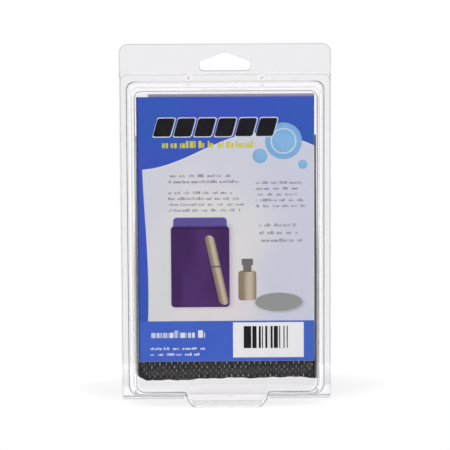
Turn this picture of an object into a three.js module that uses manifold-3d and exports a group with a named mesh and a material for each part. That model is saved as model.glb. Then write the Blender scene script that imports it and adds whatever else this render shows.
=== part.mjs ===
// A clear hanging case with a printed card and a soft cooling wallet inside it.
// Millimetres. X runs across the case, Y from its front to its back, Z up.
// Shapes are drawn with the seam between the two halves at y = 0 and the bottom edge of the flange at z = 0,
// and one group moves them so that the foot stands on z = 0 with the whole case centred on the origin.
import * as THREE from "three";
import { mergeVertices } from "three/addons/utils/BufferGeometryUtils.js";
import Module from "manifold-3d";

const wasm = await Module();
wasm.setup();

// Sheet and working values
const sheet = 0.5; // thickness of the formed clear sheet
const seamGap = 0.2; // air between the two halves of the case
const lieGap = 0.3; // air between pieces that lie on each other
const overrun = 2; // how far a cutting solid passes the faces that it cuts
const weld = 0.0001; // points closer than this are one point
const cornerSteps = 5; // straight pieces in a rounded corner
const filletSteps = 3; // straight pieces in an edge fillet

// Printed card, a standard 4 by 6 inch print
const cardWidth = 101.6;
const cardHeight = 152.4;
const cardThickness = 0.4;
const cardOffset = -0.3; // the card lies a little to the left

// Dome that holds the card and the wallet
const domeDepth = 20;
const domeSideRoom = 1.25; // from the card to the side of the dome's face
const domeTopRoom = 3.1;
const domeBottomRoom = 17.9;
const domeSideSlope = 5.55; // how much further out the dome is at the seam than at its face
const domeTopSlope = 5.4;
const domeBottomSlope = 5.85;
const domeBaseTopCorner = 5;
const domeBaseBottomCorner = 7;
const domeFaceTopCorner = 4;
const domeFaceBottomCorner = 5;
const domeFillet = 1.2;

// Flange round the dome, with a raised rim below a flat header
const rimSide = 3.5; // width of the rim beside the dome
const rimAbove = 4.4; // width of the rim above the dome
const rimCorner = 3.2;
const rimRise = 1.2; // how far the rim stands in front of the header
const backOverhang = 0.5; // how far the back half's flange passes the front one on each side
const headerCorner = 4.2;
const squareCorner = 0.4; // radius left on a corner that looks sharp

// Foot that the case stands on
const footDrop = 1.5; // how far the foot stands below the flange
const footBottomWidth = 39.4;
const footKneeWidth = 46.4;
const footKneeHeight = 3.4; // height of the bend in the foot's sides
const footTopWidth = 49;
const footTopHeight = 9.6;
const footReach = 14; // height to which the foot runs up inside the dome
const footCorner = 1.6;
const footDraft = 1.2; // how much wider each side is at the seam than at the front
const footFillet = 1.4;

// Hang hole in the header
const holeMarginBelow = 1.9;
const holeMarginAbove = 5;
const holeWidth = 30.4;
const holeHeight = 10.5;
const holeCorner = 2.8;
const holeShoulderHeight = 6;
const holeShoulderInset = 1.6;
const holeSlopeHeight = 7;
const holeSlopeHalf = 10.2;
const holeApexHalf = 2.1;
const holeApexDrop = 0.3;

// Snaps: a stud on the back half in a cap on the front half
const snapSpacing = 42.4;
const snapCapRadius = 1.6;
const snapCapRise = 1.1;
const snapClearance = 0.25;
const snapSides = 16;

// Living hinge along the bottom edge
const hingeRadius = 0.8;
const hingeWall = 0.35;
const hingeClearance = 0.15;
const hingeInset = 1; // gap between the foot and each length of hinge
const hingeOpeningDegrees = 70;
const hingeSteps = 14;

// Panel of the back half, pressed forward into the dome
const panelDepth = 3;
const panelClearance = 0.4;

// Wallet cover
const coverSideRoom = 0.55; // from the cover to the side of the dome's face
const coverTopRoom = 25.3;
const coverBottomRoom = 6.1;
const coverFabric = 1.2;
const coverSeam = 3; // width of the flat seam at each side
const coverBottomSeam = 2.5;
const coverShoulder = 6; // width of the curve from the seam to the flat of the cover
const stitchGap = 0.3; // air between two layers that are sewn together

// Tape folded over an edge
const tapeThickness = 0.3;
const tapeGap = 0.15;
const tapeLeg = 2.5;

// Inner sleeve
const sleeveRoom = 6; // from the edge of the sleeve to the edge of the cover, at the sides and the bottom
const sleeveSeam = 3;
const sleeveShoulder = 5;
const sleeveFabric = 0.6;
const liningFabric = 0.4;
const coreThickness = 1.8;
const coreMargin = 0.5; // air between the core and the start of the curved edge
const coreTopMargin = 4;
const coreCorner = 4;
const layerGap = 0.15; // air between the layers of the sleeve
const shoulderSteps = 4;
const dividerWidth = 1.2;
const dividerTopMargin = 28;

// Sizes that follow from the ones above
const hingeHeight = hingeRadius; // the hinge's axis above the bottom of the flange
const flangeBottom = hingeHeight + hingeRadius + hingeClearance;
const domeFaceBottom = flangeBottom + domeBottomSlope;
const cardBottom = domeFaceBottom + domeBottomRoom;
const domeFaceTop = cardBottom + cardHeight + domeTopRoom;
const domeFaceWidth = cardWidth + 2 * domeSideRoom;
const domeBaseTop = domeFaceTop + domeTopSlope;
const domeBaseWidth = domeFaceWidth + 2 * domeSideSlope;
const rimTop = domeBaseTop + rimAbove;
const frontWidth = domeBaseWidth + 2 * rimSide;
const backWidth = frontWidth + 2 * backOverhang;
const holeBottom = rimTop + holeMarginBelow;
const flangeHeight = holeBottom + holeHeight + holeMarginAbove;
const snapHeight = (domeBaseTop + rimTop) / 2;
const backFace = seamGap + sheet; // rear face of the back half's flange
const rearmost = Math.max(backFace, seamGap / 2 + hingeRadius);
const slantedSheet = sheet * Math.hypot(1, domeSideSlope / domeDepth); // the sheet across a sloping wall
const cardFront = -domeDepth + sheet + lieGap;
const cardBack = cardFront + cardThickness;
const panelFront = -panelDepth;
const walletFront = cardBack + lieGap;
const walletBack = panelFront - lieGap;
const walletMiddle = (walletFront + walletBack) / 2;
const tapeStandOff = tapeGap + tapeThickness; // how far a tape stands off the layers that it is folded over
const coverHalf = (walletBack - walletFront) / 2 - tapeStandOff;
const coverInside = coverHalf - coverFabric;
const coverWidth = domeFaceWidth - 2 * coverSideRoom;
const coverBottom = domeFaceBottom + coverBottomRoom;
const coverTop = domeFaceTop - coverTopRoom;
const sleeveWidth = coverWidth - 2 * sleeveRoom;
const sleeveHalf = coverInside - tapeStandOff - lieGap;
const sleeveBottom = coverBottom + sleeveRoom;
const seamHalf = stitchGap / 2;
const pocketHalf = sleeveHalf - sleeveFabric - layerGap - coreThickness - layerGap - liningFabric;
const coreHalfWidth = sleeveWidth / 2 - sleeveSeam - sleeveShoulder - coreMargin;
const coreBottom = sleeveBottom + sleeveSeam + sleeveShoulder + coreMargin;
const coreTop = coverTop - coreTopMargin;

const clearPlastic = new THREE.MeshStandardMaterial({
  color: 0xeef1f4,
  roughness: 0.08,
  metalness: 0,
  transparent: true,
  opacity: 0.25,
});
const printedCard = new THREE.MeshStandardMaterial({ color: 0x8f9fd4, roughness: 0.35, metalness: 0 });
const blackMesh = new THREE.MeshStandardMaterial({ color: 0x24252a, roughness: 0.9, metalness: 0 });
const blackTape = new THREE.MeshStandardMaterial({ color: 0x17181b, roughness: 0.8, metalness: 0 });
const purpleFabric = new THREE.MeshStandardMaterial({ color: 0x4b3a86, roughness: 0.85, metalness: 0 });
const feltCore = new THREE.MeshStandardMaterial({ color: 0xd8d6cf, roughness: 0.95, metalness: 0 });
const greyLining = new THREE.MeshStandardMaterial({ color: 0x9a9ca6, roughness: 0.6, metalness: 0 });

// Solids and meshes
function solidOf(geometry) {
  const bare = geometry.index ? geometry.toNonIndexed() : geometry.clone();
  bare.deleteAttribute("normal");
  bare.deleteAttribute("uv");
  const merged = mergeVertices(bare, weld);
  return new wasm.Manifold(
    new wasm.Mesh({
      numProp: 3,
      vertProperties: merged.attributes.position.array,
      triVerts: new Uint32Array(merged.index.array),
    }),
  );
}

function geometryOf(solid) {
  const mesh = solid.getMesh();
  const geometry = new THREE.BufferGeometry();
  geometry.setAttribute("position", new THREE.BufferAttribute(mesh.vertProperties, mesh.numProp));
  geometry.setIndex(new THREE.BufferAttribute(mesh.triVerts, 1));
  geometry.computeVertexNormals();
  return geometry;
}

function joined(solids) {
  return solids.reduce((sum, next) => sum.add(next));
}

function closedSkin(positions, faces) {
  const geometry = new THREE.BufferGeometry();
  geometry.setAttribute("position", new THREE.Float32BufferAttribute(positions, 3));
  geometry.setIndex(faces);
  return geometry;
}

// A closed skin through rings of [x, y, z] points, all with the same number of points. The two flat outlines are
// the first and the last ring laid out in a plane, anticlockwise as someone outside the first ring sees them.
function ringSkin(rings, firstFlat, lastFlat) {
  const count = firstFlat.length;
  const faces = [];
  for (let s = 0; s + 1 < rings.length; s++) {
    for (let i = 0; i < count; i++) {
      const next = (i + 1) % count;
      const [a, b, c, d] = [s * count + i, s * count + next, (s + 1) * count + next, (s + 1) * count + i];
      faces.push(a, c, b, a, d, c);
    }
  }
  const last = (rings.length - 1) * count;
  for (const [a, b, c] of THREE.ShapeUtils.triangulateShape(firstFlat, [])) faces.push(a, b, c);
  for (const [a, b, c] of THREE.ShapeUtils.triangulateShape(lastFlat, []))
    faces.push(last + a, last + c, last + b);
  return closedSkin(rings.flat(2), faces);
}

// A skin through sections that run from front to back. A section is an outline in X and Z, anticlockwise seen
// from the front, at one depth y.
function loft(sections) {
  const rings = sections.map(({ y, points }) => points.map((p) => [p.x, y, p.y]));
  return ringSkin(rings, sections[0].points, sections.at(-1).points);
}

function prism(points, front, back) {
  return loft([
    { y: front, points },
    { y: back, points },
  ]);
}

// A rectangle whose top and bottom corners have their own radii, anticlockwise from the bottom left.
function roundedOutline({ halfWidth, bottom, top, topCorner, bottomCorner }) {
  const corners = [
    [-halfWidth + bottomCorner, bottom + bottomCorner, bottomCorner],
    [halfWidth - bottomCorner, bottom + bottomCorner, bottomCorner],
    [halfWidth - topCorner, top - topCorner, topCorner],
    [-halfWidth + topCorner, top - topCorner, topCorner],
  ];
  return corners.flatMap(([x, z, radius], corner) =>
    Array.from({ length: cornerSteps + 1 }, (_, i) => {
      const angle = (Math.PI / 2) * (corner + i / cornerSteps) - Math.PI;
      return new THREE.Vector2(x + radius * Math.cos(angle), z + radius * Math.sin(angle));
    }),
  );
}

// Points of a front-to-back profile that ends in a fillet at the front: how deep, and how far drawn in.
function filletProfile(depth, radius) {
  return Array.from({ length: filletSteps + 1 }, (_, i) => {
    const angle = (Math.PI / 2) * (i / filletSteps);
    return { depth: depth - radius + radius * Math.sin(angle), drawnIn: radius * (1 - Math.cos(angle)) };
  });
}

// The dome's outline at a depth in front of the seam, drawn in all round by some amount.
function domeOutline(depth, drawnIn) {
  const share = depth / domeDepth;
  const between = (base, face) => base + (face - base) * share;
  return roundedOutline({
    halfWidth: between(domeBaseWidth, domeFaceWidth) / 2 - drawnIn,
    bottom: between(flangeBottom, domeFaceBottom) + drawnIn,
    top: between(domeBaseTop, domeFaceTop) - drawnIn,
    topCorner: between(domeBaseTopCorner, domeFaceTopCorner) - drawnIn / 2,
    bottomCorner: between(domeBaseBottomCorner, domeFaceBottomCorner) - drawnIn / 2,
  });
}

function dome(depth, fillet, drawnIn, back) {
  const front = filletProfile(depth, fillet).map((p) => ({
    y: -p.depth,
    points: domeOutline(p.depth, p.drawnIn + drawnIn),
  }));
  return loft([...front.reverse(), { y: back, points: domeOutline(-back, drawnIn) }]);
}

// The foot's outline: sides that bend in towards a flat bottom with rounded corners.
function footOutline(spread, drawnIn) {
  const half = (width) => width / 2 + spread - drawnIn;
  const bottom = -footDrop + drawnIn;
  const corner = footCorner;
  const side = new THREE.Vector2(half(footKneeWidth) - half(footBottomWidth), footKneeHeight - bottom)
    .normalize()
    .multiplyScalar(corner);
  const shape = new THREE.Shape();
  shape.moveTo(-half(footTopWidth), footReach);
  shape.lineTo(-half(footTopWidth), footTopHeight);
  shape.lineTo(-half(footKneeWidth), footKneeHeight);
  shape.lineTo(-half(footBottomWidth) - side.x, bottom + side.y);
  shape.quadraticCurveTo(-half(footBottomWidth), bottom, -half(footBottomWidth) + corner, bottom);
  shape.lineTo(half(footBottomWidth) - corner, bottom);
  shape.quadraticCurveTo(half(footBottomWidth), bottom, half(footBottomWidth) + side.x, bottom + side.y);
  shape.lineTo(half(footKneeWidth), footKneeHeight);
  shape.lineTo(half(footTopWidth), footTopHeight);
  shape.lineTo(half(footTopWidth), footReach);
  return shape.getPoints(cornerSteps);
}

function foot(depth, fillet, drawnIn, back) {
  const spread = (at) => (footDraft * (domeDepth - at)) / domeDepth;
  const front = filletProfile(depth, fillet).map((p) => ({
    y: -p.depth,
    points: footOutline(spread(p.depth), p.drawnIn + drawnIn),
  }));
  return loft([...front.reverse(), { y: back, points: footOutline(spread(-back), drawnIn) }]);
}

// The hang hole: a slot with round ends under a low peak that centres the case on its hook.
function hangHole() {
  const half = holeWidth / 2;
  const shape = new THREE.Shape();
  shape.moveTo(-half + holeCorner, 0);
  shape.lineTo(half - holeCorner, 0);
  shape.quadraticCurveTo(half, 0, half, holeCorner);
  shape.quadraticCurveTo(half, holeShoulderHeight, half - holeShoulderInset, holeShoulderHeight);
  shape.lineTo(holeSlopeHalf, holeSlopeHeight);
  shape.lineTo(holeApexHalf, holeHeight - holeApexDrop);
  shape.quadraticCurveTo(0, holeHeight + holeApexDrop, -holeApexHalf, holeHeight - holeApexDrop);
  shape.lineTo(-holeSlopeHalf, holeSlopeHeight);
  shape.lineTo(-half + holeShoulderInset, holeShoulderHeight);
  shape.quadraticCurveTo(-half, holeShoulderHeight, -half, holeCorner);
  shape.quadraticCurveTo(-half, 0, -half + holeCorner, 0);
  const points = shape.getPoints(cornerSteps).map((p) => new THREE.Vector2(p.x, p.y + holeBottom));
  points.pop(); // the last point is the first one again
  return solidOf(prism(points, -sheet - overrun, backFace + overrun));
}

// A round post that stands on the X-Z plane between two depths, at each of the two snaps.
function snapPosts(radius, front, back) {
  return [-1, 1].map((side) => {
    const post = new THREE.CylinderGeometry(radius, radius, back - front, snapSides);
    post.translate((side * snapSpacing) / 2, (front + back) / 2, snapHeight);
    return solidOf(post);
  });
}

function frontShell() {
  const flange = { halfWidth: frontWidth / 2, bottom: flangeBottom, bottomCorner: squareCorner };
  const header = roundedOutline({ ...flange, top: flangeHeight, topCorner: headerCorner });
  const rim = roundedOutline({ ...flange, top: rimTop, topCorner: rimCorner });
  const rimInside = roundedOutline({
    halfWidth: flange.halfWidth - sheet,
    bottom: flangeBottom + sheet,
    top: rimTop - sheet,
    topCorner: rimCorner - sheet / 2,
    bottomCorner: squareCorner,
  });
  const outside = joined([
    solidOf(prism(header, -sheet, 0)),
    solidOf(prism(rim, -rimRise - sheet, 0)),
    solidOf(dome(domeDepth, domeFillet, 0, 0)),
    solidOf(foot(domeDepth, footFillet, 0, 0)),
    ...snapPosts(snapCapRadius, -rimRise - sheet - snapCapRise, 0),
  ]);
  const inside = joined([
    solidOf(prism(rimInside, -rimRise, overrun)),
    solidOf(dome(domeDepth - sheet, domeFillet, slantedSheet, overrun)),
    solidOf(foot(domeDepth - sheet, footFillet, sheet, overrun)),
    ...snapPosts(snapCapRadius - sheet, -rimRise - snapCapRise, overrun),
    hangHole(),
  ]);
  return geometryOf(outside.subtract(inside));
}

function backShell() {
  const plate = roundedOutline({
    halfWidth: backWidth / 2,
    bottom: flangeBottom,
    top: flangeHeight,
    topCorner: headerCorner,
    bottomCorner: squareCorner,
  });
  const nested = slantedSheet + panelClearance;
  const outside = joined([
    solidOf(prism(plate, seamGap, backFace)),
    solidOf(dome(panelDepth, sheet, nested, backFace)),
    ...snapPosts(snapCapRadius - sheet - snapClearance, -rimRise - snapCapRise + snapClearance, backFace),
  ]);
  const inside = joined([
    solidOf(dome(panelDepth - sheet, sheet, nested + slantedSheet, backFace + overrun)),
    hangHole(),
  ]);
  return geometryOf(outside.subtract(inside));
}

// One length of the hinge: a split tube along X whose opening faces the two flanges.
function hingeTube(length) {
  const opening = THREE.MathUtils.degToRad(hingeOpeningDegrees);
  const start = Math.PI / 2 + opening / 2;
  const arc = 2 * Math.PI - opening;
  const ring = (radius) =>
    Array.from({ length: hingeSteps + 1 }, (_, i) => {
      const angle = start + (arc * i) / hingeSteps;
      return new THREE.Vector2(radius * Math.cos(angle), radius * Math.sin(angle));
    });
  const section = new THREE.Shape([...ring(hingeRadius), ...ring(hingeRadius - hingeWall).reverse()]);
  const tube = new THREE.ExtrudeGeometry(section, { depth: length, bevelEnabled: false });
  tube.rotateX(Math.PI / 2).rotateZ(Math.PI / 2);
  return tube;
}

// How far a soft layer stands off the seam, from 0 in the seam to 1 on the flat.
function fullness(distance, seam, shoulder) {
  const share = THREE.MathUtils.clamp((distance - seam) / shoulder, 0, 1);
  return Math.sin((share * Math.PI) / 2);
}

function pouchFullness({ halfWidth, bottom, seam, bottomSeam, shoulder }, x, z) {
  return fullness(halfWidth - Math.abs(x), seam, shoulder) * fullness(z - bottom, bottomSeam, shoulder);
}

// Distances across the curved edge of a pouch at which its layers bend.
function shoulderPlaces({ shoulder }) {
  return Array.from({ length: shoulderSteps + 1 }, (_, i) => (shoulder * i) / shoulderSteps);
}

// The places across the pouch at which its layers bend, from left to right.
function pouchColumns(pouch) {
  const { halfWidth, seam, shoulder } = pouch;
  const right = [0, ...shoulderPlaces(pouch).map((s) => halfWidth - seam - shoulder + s), halfWidth];
  return [...right.slice(1).reverse().map((x) => -x), ...right];
}

// One curved layer of a pouch that is open at the top: side is -1 in front of the pouch's middle and 1 behind it,
// and inner gives the distance of the layer's inner face from the middle for a fullness from 0 to 1.
function pouchLayer(pouch, side, inner, thickness) {
  const { bottom, top, bottomSeam } = pouch;
  const columns = pouchColumns(pouch);
  const rows = [bottom, ...shoulderPlaces(pouch).map((s) => bottom + bottomSeam + s), top];
  const positions = [];
  for (const extra of [0, thickness])
    for (const z of rows)
      for (const x of columns) {
        const away = inner(pouchFullness(pouch, x, z)) + extra;
        positions.push(x, walletMiddle + side * away, z);
      }
  const across = columns.length;
  const layer = across * rows.length;
  const faces = [];
  const quad = (a, b, c, d) => faces.push(...(side < 0 ? [a, b, c, a, c, d] : [a, c, b, a, d, c]));
  for (let r = 0; r + 1 < rows.length; r++)
    for (let c = 0; c + 1 < across; c++) {
      const at = r * across + c;
      quad(at, at + across, at + across + 1, at + 1);
      quad(layer + at, layer + at + 1, layer + at + across + 1, layer + at + across);
    }
  for (let r = 0; r + 1 < rows.length; r++) {
    const left = r * across;
    const end = left + across - 1;
    quad(left, layer + left, layer + left + across, left + across);
    quad(end, end + across, layer + end + across, layer + end);
  }
  for (let c = 0; c + 1 < across; c++) {
    const upper = (rows.length - 1) * across + c;
    quad(c, c + 1, layer + c + 1, layer + c);
    quad(upper, layer + upper, layer + upper + 1, upper + 1);
  }
  return closedSkin(positions, faces);
}

// The section of a tape folded over an edge. The edge ends at height 0 and lies between two distances across.
function tapeSection(near, far) {
  return [
    new THREE.Vector2(near - tapeStandOff, -tapeLeg),
    new THREE.Vector2(near - tapeGap, -tapeLeg),
    new THREE.Vector2(near - tapeGap, tapeGap),
    new THREE.Vector2(far + tapeGap, tapeGap),
    new THREE.Vector2(far + tapeGap, -tapeLeg),
    new THREE.Vector2(far + tapeStandOff, -tapeLeg),
    new THREE.Vector2(far + tapeStandOff, tapeStandOff),
    new THREE.Vector2(near - tapeStandOff, tapeStandOff),
  ];
}

// A straight tape over a flat seam, drawn with the fold towards +Y and its length along Z.
function seamTape(seamThickness, length) {
  const section = new THREE.Shape(tapeSection(-seamThickness / 2, seamThickness / 2));
  return new THREE.ExtrudeGeometry(section, { depth: length, bevelEnabled: false });
}

// A tape over the mouth of one layer. It follows the layer's curve and ends where the two layers meet.
function mouthTape(pouch, side, inner, thickness) {
  const columns = pouchColumns(pouch).slice(2, -2);
  if (side > 0) columns.reverse();
  const sections = columns.map((x) => {
    const near = inner(pouchFullness(pouch, x, pouch.top));
    return tapeSection(near, near + thickness);
  });
  const rings = sections.map((points, i) =>
    points.map((p) => [columns[i], walletMiddle + side * p.x, pouch.top + p.y]),
  );
  return ringSkin(rings, sections[0], sections.at(-1));
}

// The case
const assembly = new THREE.Group();
assembly.position.set(0, (domeDepth - rearmost) / 2, footDrop);

function place(name, geometry, material, x = 0, y = 0, z = 0) {
  const mesh = new THREE.Mesh(geometry, material);
  mesh.name = name;
  mesh.position.set(x, y, z);
  assembly.add(mesh);
  return mesh;
}

place("front_shell", frontShell(), clearPlastic);
place("back_shell", backShell(), clearPlastic);
const hingeStart = footKneeWidth / 2 + footDraft + hingeInset;
const hingeLength = frontWidth / 2 - hingeStart;
place("living_hinge_left", hingeTube(hingeLength), clearPlastic, -frontWidth / 2, seamGap / 2, hingeHeight);
place("living_hinge_right", hingeTube(hingeLength), clearPlastic, hingeStart, seamGap / 2, hingeHeight);
place(
  "insert_card",
  new THREE.BoxGeometry(cardWidth, cardThickness, cardHeight),
  printedCard,
  cardOffset,
  (cardFront + cardBack) / 2,
  cardBottom + cardHeight / 2,
);

// The wallet's cover
const cover = {
  halfWidth: coverWidth / 2,
  bottom: coverBottom,
  top: coverTop,
  seam: coverSeam,
  bottomSeam: coverBottomSeam,
  shoulder: coverShoulder,
};
const coverInner = (full) => seamHalf + (coverInside - seamHalf) * full;
for (const [where, side] of [
  ["front", -1],
  ["back", 1],
]) {
  place(`cover_${where}_panel`, pouchLayer(cover, side, coverInner, coverFabric), blackMesh);
  place(`cover_mouth_tape_${where}`, mouthTape(cover, side, coverInner, coverFabric), blackTape);
}
for (const [where, side] of [
  ["left", -1],
  ["right", 1],
]) {
  const tape = seamTape(2 * (seamHalf + coverFabric), coverTop - coverBottom).rotateZ((-side * Math.PI) / 2);
  place(`cover_seam_tape_${where}`, tape, blackTape, side * cover.halfWidth, walletMiddle, coverBottom);
}

// The inner sleeve
const sleeve = {
  halfWidth: sleeveWidth / 2,
  bottom: sleeveBottom,
  top: coverTop,
  seam: sleeveSeam,
  bottomSeam: sleeveSeam,
  shoulder: sleeveShoulder,
};
const liningInner = (full) => seamHalf + (pocketHalf - seamHalf) * full;
const fabricInner = (full) => liningInner(full) + liningFabric + layerGap + (coreThickness + layerGap) * full;
const coreOutline = roundedOutline({
  halfWidth: coreHalfWidth,
  bottom: coreBottom,
  top: coreTop,
  topCorner: coreCorner,
  bottomCorner: coreCorner,
});
for (const [where, side] of [
  ["front", -1],
  ["back", 1],
]) {
  place(`sleeve_${where}_fabric`, pouchLayer(sleeve, side, fabricInner, sleeveFabric), purpleFabric);
  place(`sleeve_${where}_lining`, pouchLayer(sleeve, side, liningInner, liningFabric), greyLining);
  const near = walletMiddle + side * (pocketHalf + liningFabric + layerGap);
  const far = near + side * coreThickness;
  place(`absorbent_core_${where}`, prism(coreOutline, Math.min(near, far), Math.max(near, far)), feltCore);
}
const sleeveSeamThickness = 2 * (seamHalf + liningFabric + layerGap + sleeveFabric);
const sideTapeBottom = sleeveBottom + tapeLeg + tapeGap;
for (const [where, side] of [
  ["left", -1],
  ["right", 1],
]) {
  const tape = seamTape(sleeveSeamThickness, coverTop - sideTapeBottom).rotateZ((-side * Math.PI) / 2);
  place(`sleeve_binding_${where}`, tape, purpleFabric, side * sleeve.halfWidth, walletMiddle, sideTapeBottom);
}
const bottomTape = seamTape(sleeveSeamThickness, sleeveWidth).rotateX(-Math.PI / 2).rotateZ(-Math.PI / 2);
place("sleeve_binding_bottom", bottomTape, purpleFabric, -sleeve.halfWidth, walletMiddle, sleeveBottom);
const dividerHeight = coverTop - dividerTopMargin - coreBottom;
place(
  "sleeve_divider",
  new THREE.BoxGeometry(dividerWidth, 2 * (pocketHalf - lieGap), dividerHeight),
  greyLining,
  0,
  walletMiddle,
  coreBottom + dividerHeight / 2,
);

export default assembly;
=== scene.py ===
import functools
import math

import bmesh
import bpy
import numpy as np
from mathutils import Matrix, Vector


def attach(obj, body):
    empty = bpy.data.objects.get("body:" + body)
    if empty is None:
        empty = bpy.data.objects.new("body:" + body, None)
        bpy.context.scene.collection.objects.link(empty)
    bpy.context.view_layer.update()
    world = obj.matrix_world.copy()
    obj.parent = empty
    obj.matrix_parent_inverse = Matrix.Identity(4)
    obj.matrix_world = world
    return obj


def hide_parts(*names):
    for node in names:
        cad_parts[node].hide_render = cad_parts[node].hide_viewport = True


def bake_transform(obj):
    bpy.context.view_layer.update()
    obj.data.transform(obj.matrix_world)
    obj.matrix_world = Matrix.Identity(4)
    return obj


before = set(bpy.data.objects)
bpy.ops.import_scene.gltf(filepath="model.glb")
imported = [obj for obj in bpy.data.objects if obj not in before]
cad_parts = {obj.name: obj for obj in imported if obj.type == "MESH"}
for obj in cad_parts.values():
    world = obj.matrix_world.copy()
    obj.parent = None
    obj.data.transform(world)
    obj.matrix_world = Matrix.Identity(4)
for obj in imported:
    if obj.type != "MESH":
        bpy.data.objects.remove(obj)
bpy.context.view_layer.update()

# The shapes below are worked out in the millimetres of the part's drawing: the seam between the two halves
# of the case is at y = 0, the bottom edge of its flange at z = 0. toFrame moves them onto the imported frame.
drawingShift = np.array([0.0, 9.55, 1.5])


def toFrame(points):
    # point in metres = (point in millimetres + shift) / 1000
    return (np.asarray(points, float).reshape(-1, 3) + drawingShift) / 1000


def gridQuads(rows, columns, wrap=False):
    # quad (r, c) joins point r * columns + c to its neighbours in the next row and the next column
    r = np.arange(rows - 1)[:, None]
    c = np.arange(columns if wrap else columns - 1)[None, :]
    following = (c + 1) % columns
    corners = [r * columns + c, (r + 1) * columns + c, (r + 1) * columns + following, r * columns + following]
    return np.stack(np.broadcast_arrays(*corners), axis=-1).reshape(-1, 4).tolist()


def addObject(name, data):
    # a new object, linked into the scene
    thing = bpy.data.objects.new(name, data)
    bpy.context.scene.collection.objects.link(thing)
    return thing


def makePiece(name, points, faces, materials, kinds=None, smoothAngle=35, fold=None, plates=(),
              outward=False):
    # one mesh object from points in drawing millimetres, with its doubles merged. kinds gives each face its
    # material; fold is a number for each point of a clear sheet, the amount of painted shade at its bend, 0
    # where it is flat and up to 1; plates are the indices of its flat faces; outward turns every face
    # outwards
    mesh = bpy.data.meshes.new(name)
    mesh.from_pydata(toFrame(points).tolist(), [], faces)
    if fold is not None:
        mesh.attributes.new("fold", "FLOAT", "POINT").data.foreach_set("value", np.asarray(fold, np.float32))
    if plates:
        bandPlates(mesh, plates)
    for material in materials:
        mesh.materials.append(material)
    if kinds is not None:
        mesh.polygons.foreach_set("material_index", np.asarray(kinds, dtype=np.int32))
    piece = addObject(name, mesh)
    cleanMesh(mesh, outward)
    finishShading(mesh, smoothAngle)
    return piece


def bandPlates(mesh, plates, width=0.4):
    # a narrow band along the edges of the flat plates, across which the painted bend shade (fold) fades out
    work = bmesh.new()
    work.from_mesh(mesh)
    work.faces.ensure_lookup_table()
    bmesh.ops.inset_region(work, faces=[work.faces[i] for i in plates], thickness=width / 1000,
                           use_boundary=True, use_even_offset=True)
    work.to_mesh(mesh)
    work.free()
    fold = np.empty(len(mesh.vertices), np.float32)
    mesh.attributes["fold"].data.foreach_get("value", fold)
    fold[[corner for i in plates for corner in mesh.polygons[i].vertices]] = 0
    mesh.attributes["fold"].data.foreach_set("value", fold)


def cleanMesh(mesh, outward):
    # doubles merged, slivers removed and faces of many corners cut into triangles
    work = bmesh.new()
    work.from_mesh(mesh)
    bmesh.ops.remove_doubles(work, verts=work.verts, dist=2e-6)
    bmesh.ops.dissolve_degenerate(work, edges=work.edges, dist=1e-6)
    bmesh.ops.triangulate(work, faces=[face for face in work.faces if len(face.verts) > 4])
    if outward:
        bmesh.ops.recalc_face_normals(work, faces=work.faces)
    work.to_mesh(mesh)
    work.free()
    mesh.update()


def finishShading(mesh, smoothAngle):
    # smooth shading, with edges sharper than the angle in degrees kept crisp
    mesh.polygons.foreach_set("use_smooth", np.ones(len(mesh.polygons), dtype=bool))
    mesh.set_sharp_from_angle(angle=math.radians(smoothAngle))
    mesh.update()


def thicken(piece, thickness, cutRound=0.13, smoothAngle=32):
    # the sheet's other face lies one thickness behind the faces' outer side, and its cut edges are a little
    # round; the result replaces the mesh
    solid = piece.modifiers.new("sheet", "SOLIDIFY")
    solid.thickness = thickness / 1000
    solid.offset = -1
    solid.use_even_offset = False
    solid.use_rim = True
    cut = piece.modifiers.new("cut edge", "BEVEL")
    cut.width = cutRound / 1000
    cut.segments = 1
    cut.limit_method = "ANGLE"
    cut.angle_limit = math.radians(60)
    graph = bpy.context.evaluated_depsgraph_get()
    made = bpy.data.meshes.new_from_object(piece.evaluated_get(graph))
    piece.modifiers.clear()
    old = piece.data
    piece.data = made
    made.name = piece.name
    bpy.data.meshes.remove(old)
    finishShading(made, smoothAngle)


def closedRings(rings):
    # rings of n points, the first and the last closed by one flat face each
    rings = np.asarray(rings)
    count, n = rings.shape[:2]
    faces = gridQuads(count, n, wrap=True)
    faces.append(list(range(n)))
    faces.append(list(range(count * n - 1, (count - 1) * n - 1, -1)))
    return rings.reshape(-1, 3), faces


def ringPiece(name, rings, material, smoothAngle=50, fold=None):
    # a closed piece carried through rings of points
    points, faces = closedRings(rings)
    return makePiece(name, points, faces, [material], smoothAngle=smoothAngle, fold=fold, outward=True)


def slab(outer, inner):
    # a closed layer between two grids of the same size, with the outer grid's faces on the outside
    rows, columns = outer.shape[:2]
    n = rows * columns
    points = np.concatenate([outer.reshape(-1, 3), inner.reshape(-1, 3)])
    front = gridQuads(rows, columns)
    faces = front + [[v + n for v in reversed(quad)] for quad in front]
    index = np.arange(n).reshape(rows, columns)
    border = np.concatenate([index[0, :-1], index[:-1, -1], index[-1, :0:-1], index[:0:-1, 0]])
    ahead = np.roll(border, -1)
    faces += np.stack([border, ahead, ahead + n, border + n], axis=-1).tolist()
    return points, faces


def arc(centreX, centreZ, radius, start, end, count):
    # points at radius from the centre, from one angle to another in degrees
    angle = np.radians(np.linspace(start, end, count))
    return np.stack([centreX + radius * np.cos(angle), centreZ + radius * np.sin(angle)], axis=-1)


def line(a, b, count):
    # points, or whole outlines, at even steps: a * (1 - t) + b * t
    t = np.linspace(0, 1, count).reshape(-1, *[1] * np.ndim(a))
    return np.asarray(a) * (1 - t) + np.asarray(b) * t


def bend(a, control, b, count):
    # quadratic curve between numbers, points or whole outlines: (1 - t)^2 a + 2 t (1 - t) control + t^2 b
    t = np.linspace(0, 1, count).reshape(-1, *[1] * np.ndim(a))
    return (1 - t) ** 2 * np.asarray(a) + 2 * t * (1 - t) * np.asarray(control) + t**2 * np.asarray(b)


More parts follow.
